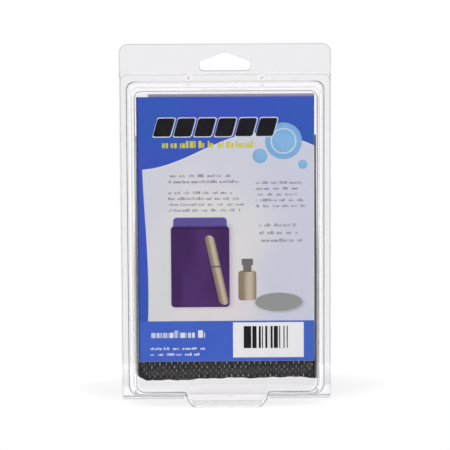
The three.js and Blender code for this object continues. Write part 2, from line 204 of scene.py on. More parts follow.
def smooth(share):
    # t^2 * (3 - 2 t), with t the share kept between 0 and 1
    t = np.clip(share, 0, 1)
    return t**2 * (3 - 2 * t)


def atDepth(outline, y):
    # an outline in X and Z as points in space at depth y, which is one number or one for each point
    depth = np.broadcast_to(np.asarray(y, float), (len(outline),))
    return np.stack([outline[:, 0], depth, outline[:, 1]], axis=-1)


def boxRings(half, low, high, corner, count, steps, middle=0.0):
    # for each step (depth, drawn) one rounded rectangle whose sides have all moved in by drawn: an arc of
    # count points about each corner's centre, from the lower left corner round to the upper left one
    rings = []
    for y, drawn in steps:
        inX, inLow, inHigh = half - drawn - corner, low + drawn + corner, high - drawn - corner
        quarters = ((-inX, inLow, 180), (inX, inLow, 270), (inX, inHigh, 0), (-inX, inHigh, 90))
        outline = np.concatenate([arc(x, z, corner, start, start + 90, count) for x, z, start in quarters])
        rings.append(atDepth(outline + [middle, 0], y))
    return rings


def addNode(tree, kind, inputs=None, **settings):
    # a shader node; each of its inputs is given as a number, a colour or a wire
    node = tree.nodes.new("ShaderNode" + kind)
    for key, value in settings.items():
        setattr(node, key, value)
    for key, value in (inputs or {}).items():
        if isinstance(value, Wire):
            plug(tree, value, node, key)
        else:
            node.inputs[key].default_value = value
    return node


def wireOf(tree, kind, output, inputs=None, **settings):
    # one output of a new node
    return Wire(tree, addNode(tree, kind, inputs, **settings).outputs[output])


def plug(tree, wire, node, socket):
    # the wire drives one socket of the node
    tree.links.new(wire.socket, node.inputs[socket])


class Wire:
    # a number that varies over a surface; sums written with wires become Math nodes
    def __init__(self, tree, socket):
        self.tree, self.socket = tree, socket

    def math(self, operation, *others):
        return wireOf(self.tree, "Math", 0, dict(enumerate((self, *others))), operation=operation)

    def __add__(self, other):
        return self.math("ADD", other)

    def __sub__(self, other):
        return self.math("SUBTRACT", other)

    def __mul__(self, other):
        return self.math("MULTIPLY", other)

    def __truediv__(self, other):
        return self.math("DIVIDE", other)

    def __neg__(self):
        return self * -1.0

    def absolute(self):
        return self.math("ABSOLUTE")

    def atLeast(self, other):
        return self.math("MAXIMUM", other)

    def atMost(self, other):
        return self.math("MINIMUM", other)

    def floor(self):
        return self.math("FLOOR")

    def repeat(self, period):
        # what is left over after whole periods
        return self - (self / period).floor() * period

    def sine(self):
        return self.math("SINE")

    def ribs(self, period):
        # a wave from 0 to 1: sin(2 pi * value / period) / 2 + 1 / 2
        return (self * (2 * math.pi / period)).sine() * 0.5 + 0.5

    def root(self):
        return self.math("SQRT")

    def ramp(self, low, high):
        # 0 at low, 1 at high, smooth between
        inputs = {"Value": self, "From Min": low, "From Max": high}
        return wireOf(self.tree, "MapRange", "Result", inputs, interpolation_type="SMOOTHSTEP")


def axesOf(tree, point):
    # a point's x, y and z
    return [Wire(tree, output) for output in addNode(tree, "SeparateXYZ", {0: point}).outputs]


def coordinates(tree):
    # the surface point in drawing millimetres, as three wires and as one: 1000 * object point - shift
    inputs = {"Vector": wireOf(tree, "TexCoord", "Object"), "Scale": (1000,) * 3, "Location": -drawingShift}
    spot = wireOf(tree, "Mapping", "Vector", inputs)
    return axesOf(tree, spot), spot


def noise(tree, vector, scale, detail=2.0, stretch=(1, 1, 1), roughness=0.5):
    # soft noise around 0.5: value = noise(point * stretch * scale)
    place = wireOf(tree, "Mapping", "Vector", {"Vector": vector, "Scale": stretch})
    inputs = {"Vector": place, "Scale": scale, "Detail": detail, "Roughness": roughness}
    return wireOf(tree, "TexNoise", "Fac", inputs)


def randomOf(tree, a, b):
    # one random number for each pair of whole numbers
    pair = wireOf(tree, "CombineXYZ", 0, {0: a, 1: b})
    return wireOf(tree, "TexWhiteNoise", "Value", {"Vector": pair}, noise_dimensions="3D")


def srgb(red, green, blue):
    # a colour written in 0 to 255 screen values, as the linear colour that a shader takes
    share = np.array([red, green, blue]) / 255
    linear = np.where(share <= 0.04045, share / 12.92, ((share + 0.055) / 1.055) ** 2.4)
    return (*linear.tolist(), 1.0)


def colourMix(tree, amount, below, above):
    # colour = below * (1 - amount) + above * amount
    return wireOf(tree, "Mix", 2, {0: amount, 6: below, 7: above}, data_type="RGBA")


def relief(tree, height, distance, strength=1.0):
    # a normal that tilts with the slope of height * distance, the distance in millimetres
    inputs = {"Height": height, "Distance": distance / 1000, "Strength": strength}
    return wireOf(tree, "Bump", "Normal", inputs)


def newMaterial(name, **sockets):
    # a material with one Principled shader, its constant sockets set directly
    material = bpy.data.materials.new(name)
    material.use_nodes = True
    tree = material.node_tree
    shader = tree.nodes["Principled BSDF"]
    for key, value in sockets.items():
        shader.inputs[key.replace("_", " ")].default_value = value
    return material, tree, shader


cameraLook = {
    "target": (-0.00048, 0.00955, 0.1043),
    "yaw": -0.88,
    "pitch": 5.06,
    "roll": -0.31,
    "distance": 0.97802,
    "lens": 133.78,
    "sensor": 36,
    "clip": (0.05, 30),
}


def makeCamera(look):
    # back = (sin yaw cos pitch, -cos yaw cos pitch, sin pitch), the unit vector from the target to the
    # camera; the picture is turned by the roll about it
    yaw, pitch, roll = (math.radians(look[k]) for k in ("yaw", "pitch", "roll"))
    back = Vector((math.sin(yaw) * math.cos(pitch), -math.cos(yaw) * math.cos(pitch), math.sin(pitch)))
    right = (-back).cross(Vector((0, 0, 1))).normalized()
    up = right.cross(-back)
    rolledRight = right * math.cos(roll) + up * math.sin(roll)
    rolledUp = -right * math.sin(roll) + up * math.cos(roll)
    data = bpy.data.cameras.new("camera")
    data.lens = look["lens"]
    data.sensor_width = look["sensor"]
    data.clip_start, data.clip_end = look["clip"]
    camera = addObject("camera", data)
    axes = (rolledRight, rolledUp, back, Vector(look["target"]) + back * look["distance"])
    place = Matrix.Identity(4)
    for column, axis in enumerate(axes):
        for row in range(3):
            place[row][column] = axis[row]
    camera.matrix_world = place
    bpy.context.scene.camera = camera


makeCamera(cameraLook)
print("camera made")

clearLook = {
    "tint": (0.996, 0.990, 1.0, 1.0),
    # painted shade: the glass colour at the darkest bends and cut edges
    "bendShade": (0.15, 0.155, 0.17, 1.0),
    "shadowTint": (0.985, 0.986, 0.988, 1.0),
    "ior": 1.5,
    "roughLow": 0.005,
    "roughHigh": 0.018,
    "rippleHeight": 0.06,
}


def clearMaterial(name, haze=0.0, addedBendShade=0.0):
    # clear plastic: glass for what is seen through it, and tinted light let through to what lies behind it.
    # Tight bends and cut edges get painted shade, which stands in for the light that they carry away:
    # colour = tint + (shade colour - tint) * (fold + added shade)
    look = clearLook
    material, tree, glass = newMaterial(name, Base_Color=look["tint"], Transmission_Weight=1.0,
                                        IOR=look["ior"])
    xyz, point = coordinates(tree)
    scuffs = noise(tree, point, 0.9, 4.0, stretch=(1, 1, 0.25)).ramp(0.45, 0.8)
    smears = noise(tree, point, 0.06, 3.0).ramp(0.4, 0.7)
    bendShadeAmount = (wireOf(tree, "Attribute", "Fac", attribute_name="fold") + addedBendShade).atMost(1.0)
    plug(tree, colourMix(tree, bendShadeAmount, look["tint"], look["bendShade"]), glass, "Base Color")
    spread = look["roughHigh"] - look["roughLow"]
    plug(tree, scuffs * smears * spread + (look["roughLow"] + haze), glass, "Roughness")
    ripple = noise(tree, point, 0.045, 1.0, stretch=(1, 1, 0.4))
    plug(tree, relief(tree, ripple, look["rippleHeight"]), glass, "Normal")
    letThrough = wireOf(tree, "BsdfTransparent", 0, {"Color": look["shadowTint"]})
    isShadow = wireOf(tree, "LightPath", "Is Shadow Ray")
    both = wireOf(tree, "MixShader", 0, {0: isShadow, 1: Wire(tree, glass.outputs[0]), 2: letThrough})
    plug(tree, both, tree.nodes["Material Output"], "Surface")
    return material


clearSheet = clearMaterial("clear formed sheet")
# the bead gets a little painted shade all over, besides the painted shade at its bends
clearBead = clearMaterial("clear hinge bead", haze=0.02, addedBendShade=0.04)

# Sizes that the two halves of the case share, in drawing millimetres
case = {
    "sheet": 0.5,
    "domeDepth": 20.0,
    "baseHalf": 57.7,
    "faceHalf": 52.05,
    "baseBottom": 1.75,
    "faceBottom": 7.6,
    "baseTop": 186.8,
    "faceTop": 181.0,
    "baseTopCorner": 5.0,
    "faceTopCorner": 4.0,
    "baseBottomCorner": 7.0,
    "faceBottomCorner": 5.0,
    "footHeights": (-1.5, 3.4, 9.6),
    "footHalves": (19.7, 23.2, 24.5),
    "footCorner": 1.6,
    "footSpread": 1.2,
    "rimTop": 190.8,
    "headerTop": 208.2,
    "headerCorner": 5.0,
    "snapSide": 21.2,
    "snapHeight": 188.6,
    "joinRound": 1.1,
    "innerRing": 0.8,
    # painted shade at the sheet's outer edges and round the hang hole
    "edgeShade": 0.45,
    "holeShade": 0.7,
}
# slope and peak are the three points of the small curves at the shoulder's end and at the top
holeLook = {
    "bottom": 192.8,
    "half": 14.75,
    "corner": 2.6,
    "shoulder": 6.0,
    "inset": 1.9,
    "slope": ((10.9, 6.72), (9.9, 7.0), (9.0, 7.36)),
    "peak": ((2.7, 9.81), (1.5, 10.29), (0, 10.35)),
    "holeShadeHeight": 3.0,
}

# Places along a side and along the top edge, closer together where the shape needs it
sidePlaces = np.concatenate([np.linspace(0, 0.984, 30)[1:], [0.988, 0.991, 0.994, 0.997]])
snapPlaces = np.arange(23.6, 18.7, -0.22)
innerPlaces = np.linspace(17.6, 0, 9)
cornerPoints, nearPoints = 13, 7
topPoints = nearPoints + len(snapPlaces) + len(innerPlaces)


def footSide(z, spread, drawn):
    # half width of the foot at a height: straight to the knee, straight to the top, then upright
    low, knee, top = case["footHeights"]
    return np.interp(z, [low + drawn, knee, top], np.array(case["footHalves"]) + spread - drawn)


def footHalf(joinZ, spread, drawn, count=8):
    # right half of the foot's outline, from the middle of its bottom to the start of its join with the dome
    lowHalf, kneeHalf = case["footHalves"][:2]
    bottom, half, turn = case["footHeights"][0] + drawn, lowHalf + spread - drawn, case["footCorner"]
    slant = np.array([kneeHalf - lowHalf, case["footHeights"][1] - bottom])
    slant = turn * slant / np.hypot(*slant)
    corner = bend((half - turn, bottom), (half, bottom), (half + slant[0], bottom + slant[1]), 7)
    z = np.linspace(bottom + slant[1], joinZ, count)[1:-1]
    side = np.stack([footSide(z, spread, drawn), z], axis=-1)
    return np.concatenate([line((0, bottom), corner[0], 7)[:-1], corner, side])


def domeHalf(start, half, bottom, top, bottomCorner, topCorner):
    # right half of a rounded rectangle, from a point on its bottom edge round to the middle of its top edge
    sideLow, sideHigh = bottom + bottomCorner, top - topCorner
    lower = arc(half - bottomCorner, sideLow, bottomCorner, -90, 0, 15)
    sideZ = sideLow + (sideHigh - sideLow) * sidePlaces
    side = np.stack([np.full_like(sideZ, half), sideZ], axis=-1)
    upper = arc(half - topCorner, sideHigh, topCorner, 0, 90, cornerPoints)
    nearX = np.linspace(half - topCorner, snapPlaces[0], nearPoints + 2)[1:-1]
    runX = np.concatenate([nearX, snapPlaces, innerPlaces])
    run = np.stack([runX, np.full_like(runX, top)], axis=-1)
    return np.concatenate([line((start, bottom), lower[0], 12)[:-1], lower, side, upper, run])


def domeSizes(depth, drawn=0.0):
    # the dome's outline at a depth, drawn in all round: base + (face - base) * depth / full depth
    share = depth / case["domeDepth"]

    def between(base, face):
        return case[base] + (case[face] - case[base]) * share

    return {
        "half": between("baseHalf", "faceHalf") - drawn,
        "bottom": between("baseBottom", "faceBottom") + drawn,
        "top": between("baseTop", "faceTop") - drawn,
        "bottomCorner": between("baseBottomCorner", "faceBottomCorner") - drawn / 2,
        "topCorner": between("baseTopCorner", "faceTopCorner") - drawn / 2,
    }


def fullRing(half, y):
    # the left half mirrors the right one, without its first and last point, which lie in the middle
    right = atDepth(half, y)
    return np.concatenate([right, right[-2:0:-1] * [-1, 1, 1]])


def frontHalf(sizes, y, drawn=0.0):
    # right half of the outline round dome and foot; a small curve joins the foot's sides to the dome's bottom
    spread = case["footSpread"] * (case["domeDepth"] + y) / case["domeDepth"]
    reach, z = case["joinRound"], sizes["bottom"]
    foot = footHalf(z - reach, spread, drawn)
    corner = np.array([footSide(z, spread, drawn), z])
    under = np.array([footSide(z - reach, spread, drawn), z - reach])
    join = bend(under, corner, corner + [reach, 0], 6)
    return np.concatenate([foot, join[:-1], domeHalf(corner[0] + reach, **sizes)])


def snapBump(points, radius, plateau, rise, crown=0.12):
    # height of the two round caps: rise * (1 - crown + crown * cos(quarter turn * distance / plateau))
    # * smooth fall from the plateau's edge to the radius
    lift = np.zeros(len(points))
    for side in (-1, 1):
        away = np.hypot(points[:, 0] - side * case["snapSide"], points[:, 2] - case["snapHeight"])
        top = 1 - crown + crown * np.cos(np.clip(away / plateau, 0, 1) * np.pi / 2)
        lift += rise * top * smooth((radius - away) / (radius - plateau))
    return lift


def flangeRings(root, end, y, cap, count):
    # flat rings from the wall's root out to the flange's end, raised at the two snaps
    rings = [fullRing(half, y) for half in line(root, end, count)[1:]]
    for ring in rings:
        ring[:, 1] -= snapBump(ring, *cap)
    return rings


def hangHole():
    # the hole's right half, from the middle of its bottom edge round to its peak
    look = holeLook
    half, corner, shoulder = look["half"], look["corner"], look["shoulder"]
    parts = [
        line((0, 0), (half - corner, 0), 8)[:-1],
        bend((half - corner, 0), (half, 0), (half, corner), 7)[:-1],
        bend((half, corner), (half, shoulder), (half - look["inset"], shoulder), 7),
        bend(*look["slope"], 4),
        bend(*look["peak"], 6),
    ]
    return np.concatenate(parts) + [0, look["bottom"]]


def headerPlate(start, topRun, sides, y):
    # the flat header in two faces that meet on the middle line, each round its half of the hang hole.
    # topRun is the row of shared points from the right end to the left end; new points are counted from
    # start
    top, turn = case["headerTop"], case["headerCorner"]
    hole = hangHole()
    outline = np.concatenate([sides, arc(sides[0, 0] - turn, top - turn, turn, 0, 90, 9), [[0, top]]])
    right = atDepth(np.concatenate([outline, hole]), y)
    step, middle = len(right), len(topRun) // 2
    edge = [start + i for i in range(len(outline))]
    rim = [start + i for i in range(len(outline), step)]
    leftEdge = [v + step for v in edge[:-1]] + edge[-1:]
    leftRim = rim[:1] + [v + step for v in rim[1:-1]] + rim[-1:]
    faces = [topRun[:middle + 1][::-1] + edge + rim[::-1], (topRun[middle:] + leftEdge + leftRim[::-1])[::-1]]
    # painted shade along the header's edge and round the hang hole, strongest along the hole's bottom
    low = np.clip(1 - (hole[:, 1] - holeLook["bottom"]) / holeLook["holeShadeHeight"], 0, 1)
    folds = np.concatenate([np.full(len(outline), case["edgeShade"]), case["holeShade"] * (0.15 + 0.85 * low)])
    return np.concatenate([right, right * [-1, 1, 1]]), faces, np.tile(folds, 2)


def closeShell(name, rings, fold, firstTop, half, header):
    # the rings joined, the innermost one closed by a flat face, and the header plate set on the last ring's
    # top run, which starts at point firstTop of each half
    count, n = rings.shape[:2]
    points, fold = rings.reshape(-1, 3), fold.reshape(-1)
    faces = gridQuads(count, n, wrap=True) + [list(range(n))]
    lastRow, halfCount = (count - 1) * n, n // 2 + 1
    topRun = [lastRow + i for i in range(firstTop, halfCount)]
    topRun += [lastRow + n - i for i in range(halfCount - 2, firstTop - 1, -1)]
    # no painted bend shade where the header plate joins
    fold[topRun] = 0
    sides = line((half, points[topRun[0], 2]), (half, case["headerTop"] - case["headerCorner"]), 4)[1:-1]
    extra, plates, extraFold = headerPlate(len(points), topRun, sides, header)
    return makePiece(name, np.concatenate([points, extra]), faces + plates, [clearSheet],
                     fold=np.concatenate([fold, extraFold]), plates=range(len(faces), len(faces) + 2))


# cap is the snaps' radius, plateau and rise; the fold values are how much painted shade each bend gets
frontShellLook = {
    "faceFillet": 1.0,
    "sideFillet": 1.5,
    "footFillet": 1.6,
    "rootStart": -2.1,
    "rimFront": -1.7,
    "rootReach": 0.35,
    "rootDrop": 0.13,
    "rimRound": 0.5,
    "flare": 0.5,
    "edge": {"half": 61.1, "bottom": 1.75, "top": case["rimTop"], "bottomCorner": 0.4, "topCorner": 4.4},
    "flatBottom": 1.98,
    "flatCorner": 0.3,
    "cap": (2.2, 0.9, 0.6),
    "roundShare": 4 / 9,
    "headerSteps": 9,
    "headerLap": 0.3,
    "faceShade": 0.04,
    "rootShade": [0.3, 0.8, 1.0, 1.0, 0.9, 0.4],
    "rootTopShare": 0.5,
    "rootLowShare": 0.2,
    "stepShade": 0.3,
}


def domeRings(look):
    # from the middle of the dome's face over its edge, down the wall and round its root to the rim's front:
    # the fillet draws the outline in by fillet * (1 - cos) and sets it back by fillet * (1 - sin)
    depth, fillet, footFillet = case["domeDepth"], look["faceFillet"], look["footFillet"]
    start, rim = look["rootStart"], look["rimFront"]
    middle = domeSizes(depth, fillet + case["innerRing"])
    middle["half"] += fillet - look["sideFillet"]
    rings = [fullRing(frontHalf(middle, -depth, footFillet + case["innerRing"]), -depth)]
    # folds holds each ring's painted bend shade: faint over the face's edge, strong round the root
    folds = [0.0]
    for angle in np.radians(np.linspace(90, 0, 7)):
        at = depth - fillet * (1 - math.sin(angle))
        drawn = fillet * (1 - math.cos(angle))
        sizes = domeSizes(at, drawn)
        sizes["half"] += drawn * (1 - look["sideFillet"] / fillet)
        rings.append(fullRing(frontHalf(sizes, -at, footFillet * (1 - math.cos(angle))), -at))
        folds.append(look["faceShade"] * math.sin(2 * angle))
    faceRings = len(rings)
    for at in np.linspace(depth - fillet, -start, 12)[1:]:
        rings.append(fullRing(frontHalf(domeSizes(at), -at), -at))
    rootRing = len(rings) - 1
    folds += [0.0] * (rootRing - faceRings) + look["rootShade"]
    foot = frontHalf(domeSizes(-rim), rim)
    outwards = domeSizes(-rim, -look["rootReach"])
    outwards["bottom"] = domeSizes(-rim)["bottom"] - look["rootDrop"]
    root = frontHalf(outwards, rim)
    halves = bend(frontHalf(domeSizes(-start), start), foot, root, 6)[1:]
    rings += [fullRing(half, y) for half, y in zip(halves, bend(start, rim, rim, 6)[1:])]
    return rings, folds, root, faceRings, rootRing


def makeFrontShell(look):
    # the dome's rings, the rim's front, its round edge and outer side; the header is a plate on the rim's
    # top run
    rings, folds, root, faceRings, rootRing = domeRings(look)
    rim, edge, inset, header = look["rimFront"], look["edge"], look["rimRound"], -case["sheet"]
    flatEnd = {"half": edge["half"] - inset, "bottom": look["flatBottom"], "top": edge["top"] - inset,
               "bottomCorner": look["flatCorner"], "topCorner": edge["topCorner"] - inset / 2}
    flat = frontHalf(flatEnd, rim)
    rimRings = flangeRings(root, flat, rim, look["cap"], 15)
    rings += rimRings
    folds += [0.0] * len(rimRings)
    # the sides turn over a round edge and go straight back to the seam, while the top run climbs in one
    # gentle step to the header: z + (inset + flare) * t, y = rim + (header - rim) * smooth(t)
    steps, roundShare = look["headerSteps"], look["roundShare"]
    firstTop = len(flat) - cornerPoints - topPoints + 3
    topShare = np.clip((np.arange(len(flat)) - firstTop + 8) / 8, 0, 1)
    onTop = topShare == 1
    for t in np.arange(1, steps + 1) / steps:
        angle = math.radians(min(t / roundShare, 1) * 90)
        straight = max((t - roundShare) / (1 - roundShare), 0)
        sizes = {k: flatEnd[k] + (edge[k] - flatEnd[k]) * math.sin(angle) for k in edge}
        ySide = rim + inset * (1 - math.cos(angle)) + (-rim - inset) * straight
        plain = frontHalf(sizes, ySide)
        grow = (inset + look["flare"]) * t - inset
        wide = frontHalf({**edge, "top": edge["top"] + grow, "half": edge["half"] + grow,
                          "topCorner": edge["topCorner"] + grow / 2}, ySide)
        wide[:, 0] = np.minimum(wide[:, 0], edge["half"])
        yTop = rim + (header - rim) * smooth(t)
        half = plain + (wide - plain) * topShare[:, None]
        rings.append(fullRing(half, ySide + (yTop - ySide) * topShare))
        # painted shade over the rim's round edge
        folds.append(case["edgeShade"] * math.sin(angle))
    # one more narrow ring lies flat in the header, so that the plate's own faces stay flat
    lap = [0, look["headerLap"]] * onTop[:, None] * np.clip((edge["half"] - half[:, :1]) / 2, 0, 1)
    rings.append(fullRing(half + lap, np.where(onTop, header, 0.0)))
    folds.append(case["edgeShade"])
    # the painted bend shade: none on the top run's climb to the header except a faint line at its step, and
    # weaker where the face meets the sides and the bottom, and along the root's top and bottom
    rings = np.asarray(rings)
    fold = np.repeat(folds, rings.shape[1]).reshape(rings.shape[:2])
    onTopRing = np.concatenate([onTop, onTop[-2:0:-1]])
    fold[-steps - 1:, onTopRing] = 0.0
    fold[-steps + 2:-steps + 5, onTopRing] = look["stepShade"]
    x, z = np.abs(rings[:faceRings, :, 0]), rings[:faceRings, :, 2]
    fold[:faceRings] *= 1 - np.clip((x - case["faceHalf"] + 3) / 2, 0, 1)
    fold[:faceRings] *= 1 - np.clip((case["faceBottom"] + 2 - z) / 2, 0, 1)
    rooted = slice(rootRing, rootRing + len(look["rootShade"]) + 1)
    x, z = np.abs(rings[rooted, :, 0]), rings[rooted, :, 2]
    high = np.clip((z - case["baseTop"] + 2.2) / 1.2, 0, 1)
    high *= np.clip((case["baseHalf"] - case["baseTopCorner"] + 1 - x) / 3, 0, 1)
    fold[rooted] *= 1 - (1 - look["rootTopShare"]) * high
    fold[rooted] *= 1 - (1 - look["rootLowShare"]) * np.clip((case["baseBottom"] + 2 - z) / 2, 0, 1)
    return closeShell("front_shell_formed", rings, fold, firstTop, edge["half"], header)


frontShell = makeFrontShell(frontShellLook)
thicken(frontShell, case["sheet"])
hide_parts("front_shell")
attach(frontShell, "case_front")
print("front half formed:", len(frontShell.data.polygons), "faces")

backShellLook = {
    "plateFront": 0.2,
    "panelFront": -3.0,
    "nested": 0.919,
    "panelFillet": 1.2,
    "rootRound": 0.9,
    "edge": {"half": 61.6, "bottom": 1.75, "top": case["rimTop"], "bottomCorner": 0.4, "topCorner": 0.02},
    "stud": (1.6, 0.7, 2.0),
}


def makeBackShell(look):
    # the back half: a panel pressed forward into the dome, with a plate round it and the same header
    plateY, panelY, edge = look["plateFront"], look["panelFront"], look["edge"]
    fillet, reach = look["panelFillet"], look["rootRound"]

    def outline(y, drawn=0.0):
        return domeHalf(0.0, **domeSizes(-y, look["nested"] + drawn))

    rings = [fullRing(outline(panelY, fillet + case["innerRing"]), panelY)]
    for angle in np.radians(np.linspace(90, 0, 6)):
        y = panelY + fillet * (1 - math.sin(angle))
        rings.append(fullRing(outline(y, fillet * (1 - math.cos(angle))), y))
    root = outline(plateY, -reach)
    halves = bend(outline(plateY - reach), outline(plateY), root, 6)
    rings += [fullRing(half, y) for half, y in zip(halves, bend(plateY - reach, plateY, plateY, 6))]
    rings += flangeRings(root, domeHalf(0.0, **edge), plateY, look["stud"], 22)
    rings = np.asarray(rings)
    n = rings.shape[1]
    firstTop = n // 2 - topPoints
    rings[-1, firstTop, 0] = edge["half"]
    rings[-1, n - firstTop, 0] = -edge["half"]
    # painted bend shade only along the flange's outer edge
    fold = np.zeros(rings.shape[:2])
    fold[-1] = case["edgeShade"]
    return closeShell("back_shell_formed", rings, fold, firstTop, edge["half"], plateY)


backShell = makeBackShell(backShellLook)
thicken(backShell, case["sheet"])
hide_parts("back_shell")
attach(backShell, "case_back")
print("back half formed:", len(backShell.data.polygons), "faces")

# along and pinch: places along the bead from its inner end, and how much narrower it is there
hingeLook = {
    "radius": 0.8,
    "wall": 0.35,
    "opening": 70,
    "axisY": 0.1,
    "axisZ": 0.8,
    "start": 25.4,
    "along": (0, 0.25, 0.8, 2, 9, 18, 27, 33.7, 34.9, 35.45, 35.7),
    "pinch": (0.82, 0.92, 0.98, 1, 1, 1, 1, 1, 0.98, 0.92, 0.82),
    "underShade": 0.6,
    "bendReach": 1.1,
}


def makeHinge(look, side, name):
    # a split tube: an arc's outer and inner edges carried along X, slightly pinched at its two ends
    turns = (90 + look["opening"] / 2, 450 - look["opening"] / 2)
    outer = arc(0, 0, look["radius"], *turns, 25)
    section = np.concatenate([outer, arc(0, 0, look["radius"] - look["wall"], *turns[::-1], 25)])
    pinch = np.array(look["pinch"])[:, None]
    x = (look["start"] + np.array(look["along"]))[:, None] * side
    y, z = look["axisY"] + section[:, 0] * pinch, look["axisZ"] + section[:, 1] * pinch
    # painted shade along the bead's underside
    under = look["underShade"] * np.clip((-section[:, 1] / look["radius"] - 0.6) / 0.2, 0, 1)
    return ringPiece(name, np.stack([np.broadcast_to(x, y.shape), y, z], axis=-1), clearBead, 35,
                     np.tile(under, len(pinch)))


for side, where in ((-1, "left"), (1, "right")):
    bead = makeHinge(hingeLook, side, "hinge_bead_" + where)
    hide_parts("living_hinge_" + where)
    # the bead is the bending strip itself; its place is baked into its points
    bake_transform(bead)
print("hinge beads made")

cardLook = {
    "left": -51.1,
    "width": 101.6,
    "bottom": 25.5,
    "height": 152.4,
    "front": -19.2,
    "thickness": 0.4,
    "corner": 0.35,
    "edgeRound": 0.08,
    "lip": 1.7,
    "body": srgb(220, 220, 222),
    "bodyCool": srgb(207, 209, 224),
    "bodyWarm": srgb(228, 221, 223),
    "blue": srgb(50, 89, 178),
    "blueDeep": srgb(60, 83, 186),
    "band": srgb(66, 102, 198),
    "bandDeep": srgb(66, 97, 196),
    "disc": srgb(118, 170, 216),
    "discLight": srgb(140, 192, 232),
    "ink": srgb(10, 10, 18),
    "inkRim": srgb(214, 218, 230),
    "textInk": srgb(84, 84, 112),
    "yellow": srgb(206, 203, 62),
    "shadow": srgb(120, 118, 150),
    "purple": srgb(60, 32, 84),
    "purpleFold": srgb(76, 44, 102),
    "purpleLight": srgb(92, 80, 150),
    "hem": srgb(40, 20, 60),
    "cream": srgb(196, 182, 158),
    "creamDark": srgb(140, 124, 104),
    "neck": srgb(112, 104, 104),
    "penBand": srgb(90, 82, 80),
    "badge": srgb(150, 150, 148),
    "badgeShade": srgb(120, 120, 130),
    "white": srgb(243, 242, 243),
    # painted shade for the card's left edge and for the lip above the print
    "leftEdgeShade": srgb(38, 50, 104),
    "lipShadeLow": srgb(132, 132, 160),
    "lipShadeHigh": srgb(158, 152, 166),
}
# Places on the print, in millimetres from the card's lower left corner. A box is its middle across and up,
# half width, half height, corner and softness. The discs are their middle, radius and softness; the ring
# and the badge are their middle, half width and half height. Strokes are left, right, top, row pitch, rows,
# height, seed and stroke pitch.
printPlaces = {
    "waveLength": 72,
    "waveHeight": 10.5,
    "waveLevel": 121.4,
    "stripLength": 26.0,
    "stripSwing": 1.5,
    "stripWidth": 4.6,
    "discs": ((84.0, 127.0, 10.5, 0.02), (70.5, 118.5, 4.2, 0.05), (95.0, 113.5, 2.6, 0.08)),
    "ringOuter": (84.0, 127.0, 7.4, 7.4),
    "ringInner": (84.0, 127.0, 6.6, 6.6),
    "blockLeft": 9.5,
    "blockPitch": 11.7,
    "blockCount": 6,
    "blockFoot": 131.0,
    "blockLean": 0.28,
    "blockRim": (5.2, 135.0, 5.55, 5.75, 1.6, 0.12),
    "block": (5.2, 135.0, 5.0, 5.2, 1.3, 0.12),
    "yellowStrokes": (14.0, 74.0, 127.4, 9.0, 1, 4.2, 1.7, 2.3),
    "greyStrokes": (
        (18.0, 62.0, 108.4, 3.4, 2, 1.9, 2.3, 1.15),
        (18.0, 62.0, 98.6, 3.35, 4, 1.75, 5.1, 1.15),
        (68.0, 98.0, 104.2, 3.35, 5, 1.75, 8.4, 1.15),
        (70.0, 96.0, 80.0, 4.4, 3, 2.1, 11.9, 1.15),
    ),
    "whiteStrokes": ((7.0, 46.0, 18.4, 7.6, 1, 4.6, 3.1, 3.4), (7.0, 40.0, 8.6, 3.4, 2, 1.7, 6.6, 1.1)),
    "shadow": (37.0, 55.4, 17.6, 24.2, 3.0, 2.2),
    "flap": (36.0, 76.0, 15.4, 7.4, 2.2, 0.12),
    "pouch": (36.0, 55.0, 16.8, 23.4, 2.2, 0.12),
    "hem": (36.0, 77.0, 16.8, 0.35, 0.1, 0.1),
    "bottle": (63.0, 44.0, 5.2, 8.6, 1.8, 0.12),
    "neck": (63.0, 54.4, 2.4, 2.6, 0.4, 0.12),
    "cap": (63.0, 57.6, 3.3, 1.9, 0.6, 0.12),
    "penFoot": 55.0,
    "penLean": 0.22,
    "pen": (45.0, 53.0, 2.7, 20.0, 2.5, 0.12),
    "penBand": (45.0, 55.0, 2.9, 0.4, 0.1, 0.1),
    "badge": (81.0, 34.4, 13.6, 5.3, 0.03),
    "badgeShade": (81.6, 33.9, 14.2, 5.8, 0.12),
    "bandTop": 23.6,
    "panel": (75.0, 12.4, 20.4, 10.2, 0.2, 0.08),
    "bars": (75.0, 14.0, 14.6, 6.4, 0.0, 0.05),
    "barPitch": 0.62,
    # where the lip's painted shade starts
    "lipShadeLow": 152.4,
}


def boxMask(u, v, centreU, centreV, halfU, halfV, corner, soft):
    # 1 inside a rounded rectangle: distance = length(max(|p| - half + corner, 0)) - corner
    corner = max(corner, soft)
    du = ((u - centreU).absolute() - (halfU - corner)).atLeast(0.0)
    dv = ((v - centreV).absolute() - (halfV - corner)).atLeast(0.0)
    distance = (du * du + dv * dv).root() - corner
    return distance.ramp(soft, -soft)


def discMask(u, v, centreU, centreV, radiusU, radiusV, soft=0.02):
    # 1 inside an ellipse: (u / a)^2 + (v / b)^2 < 1
    du = (u - centreU) / radiusU
    dv = (v - centreV) / radiusV
    return (du * du + dv * dv).root().ramp(1 + soft, 1 - soft)


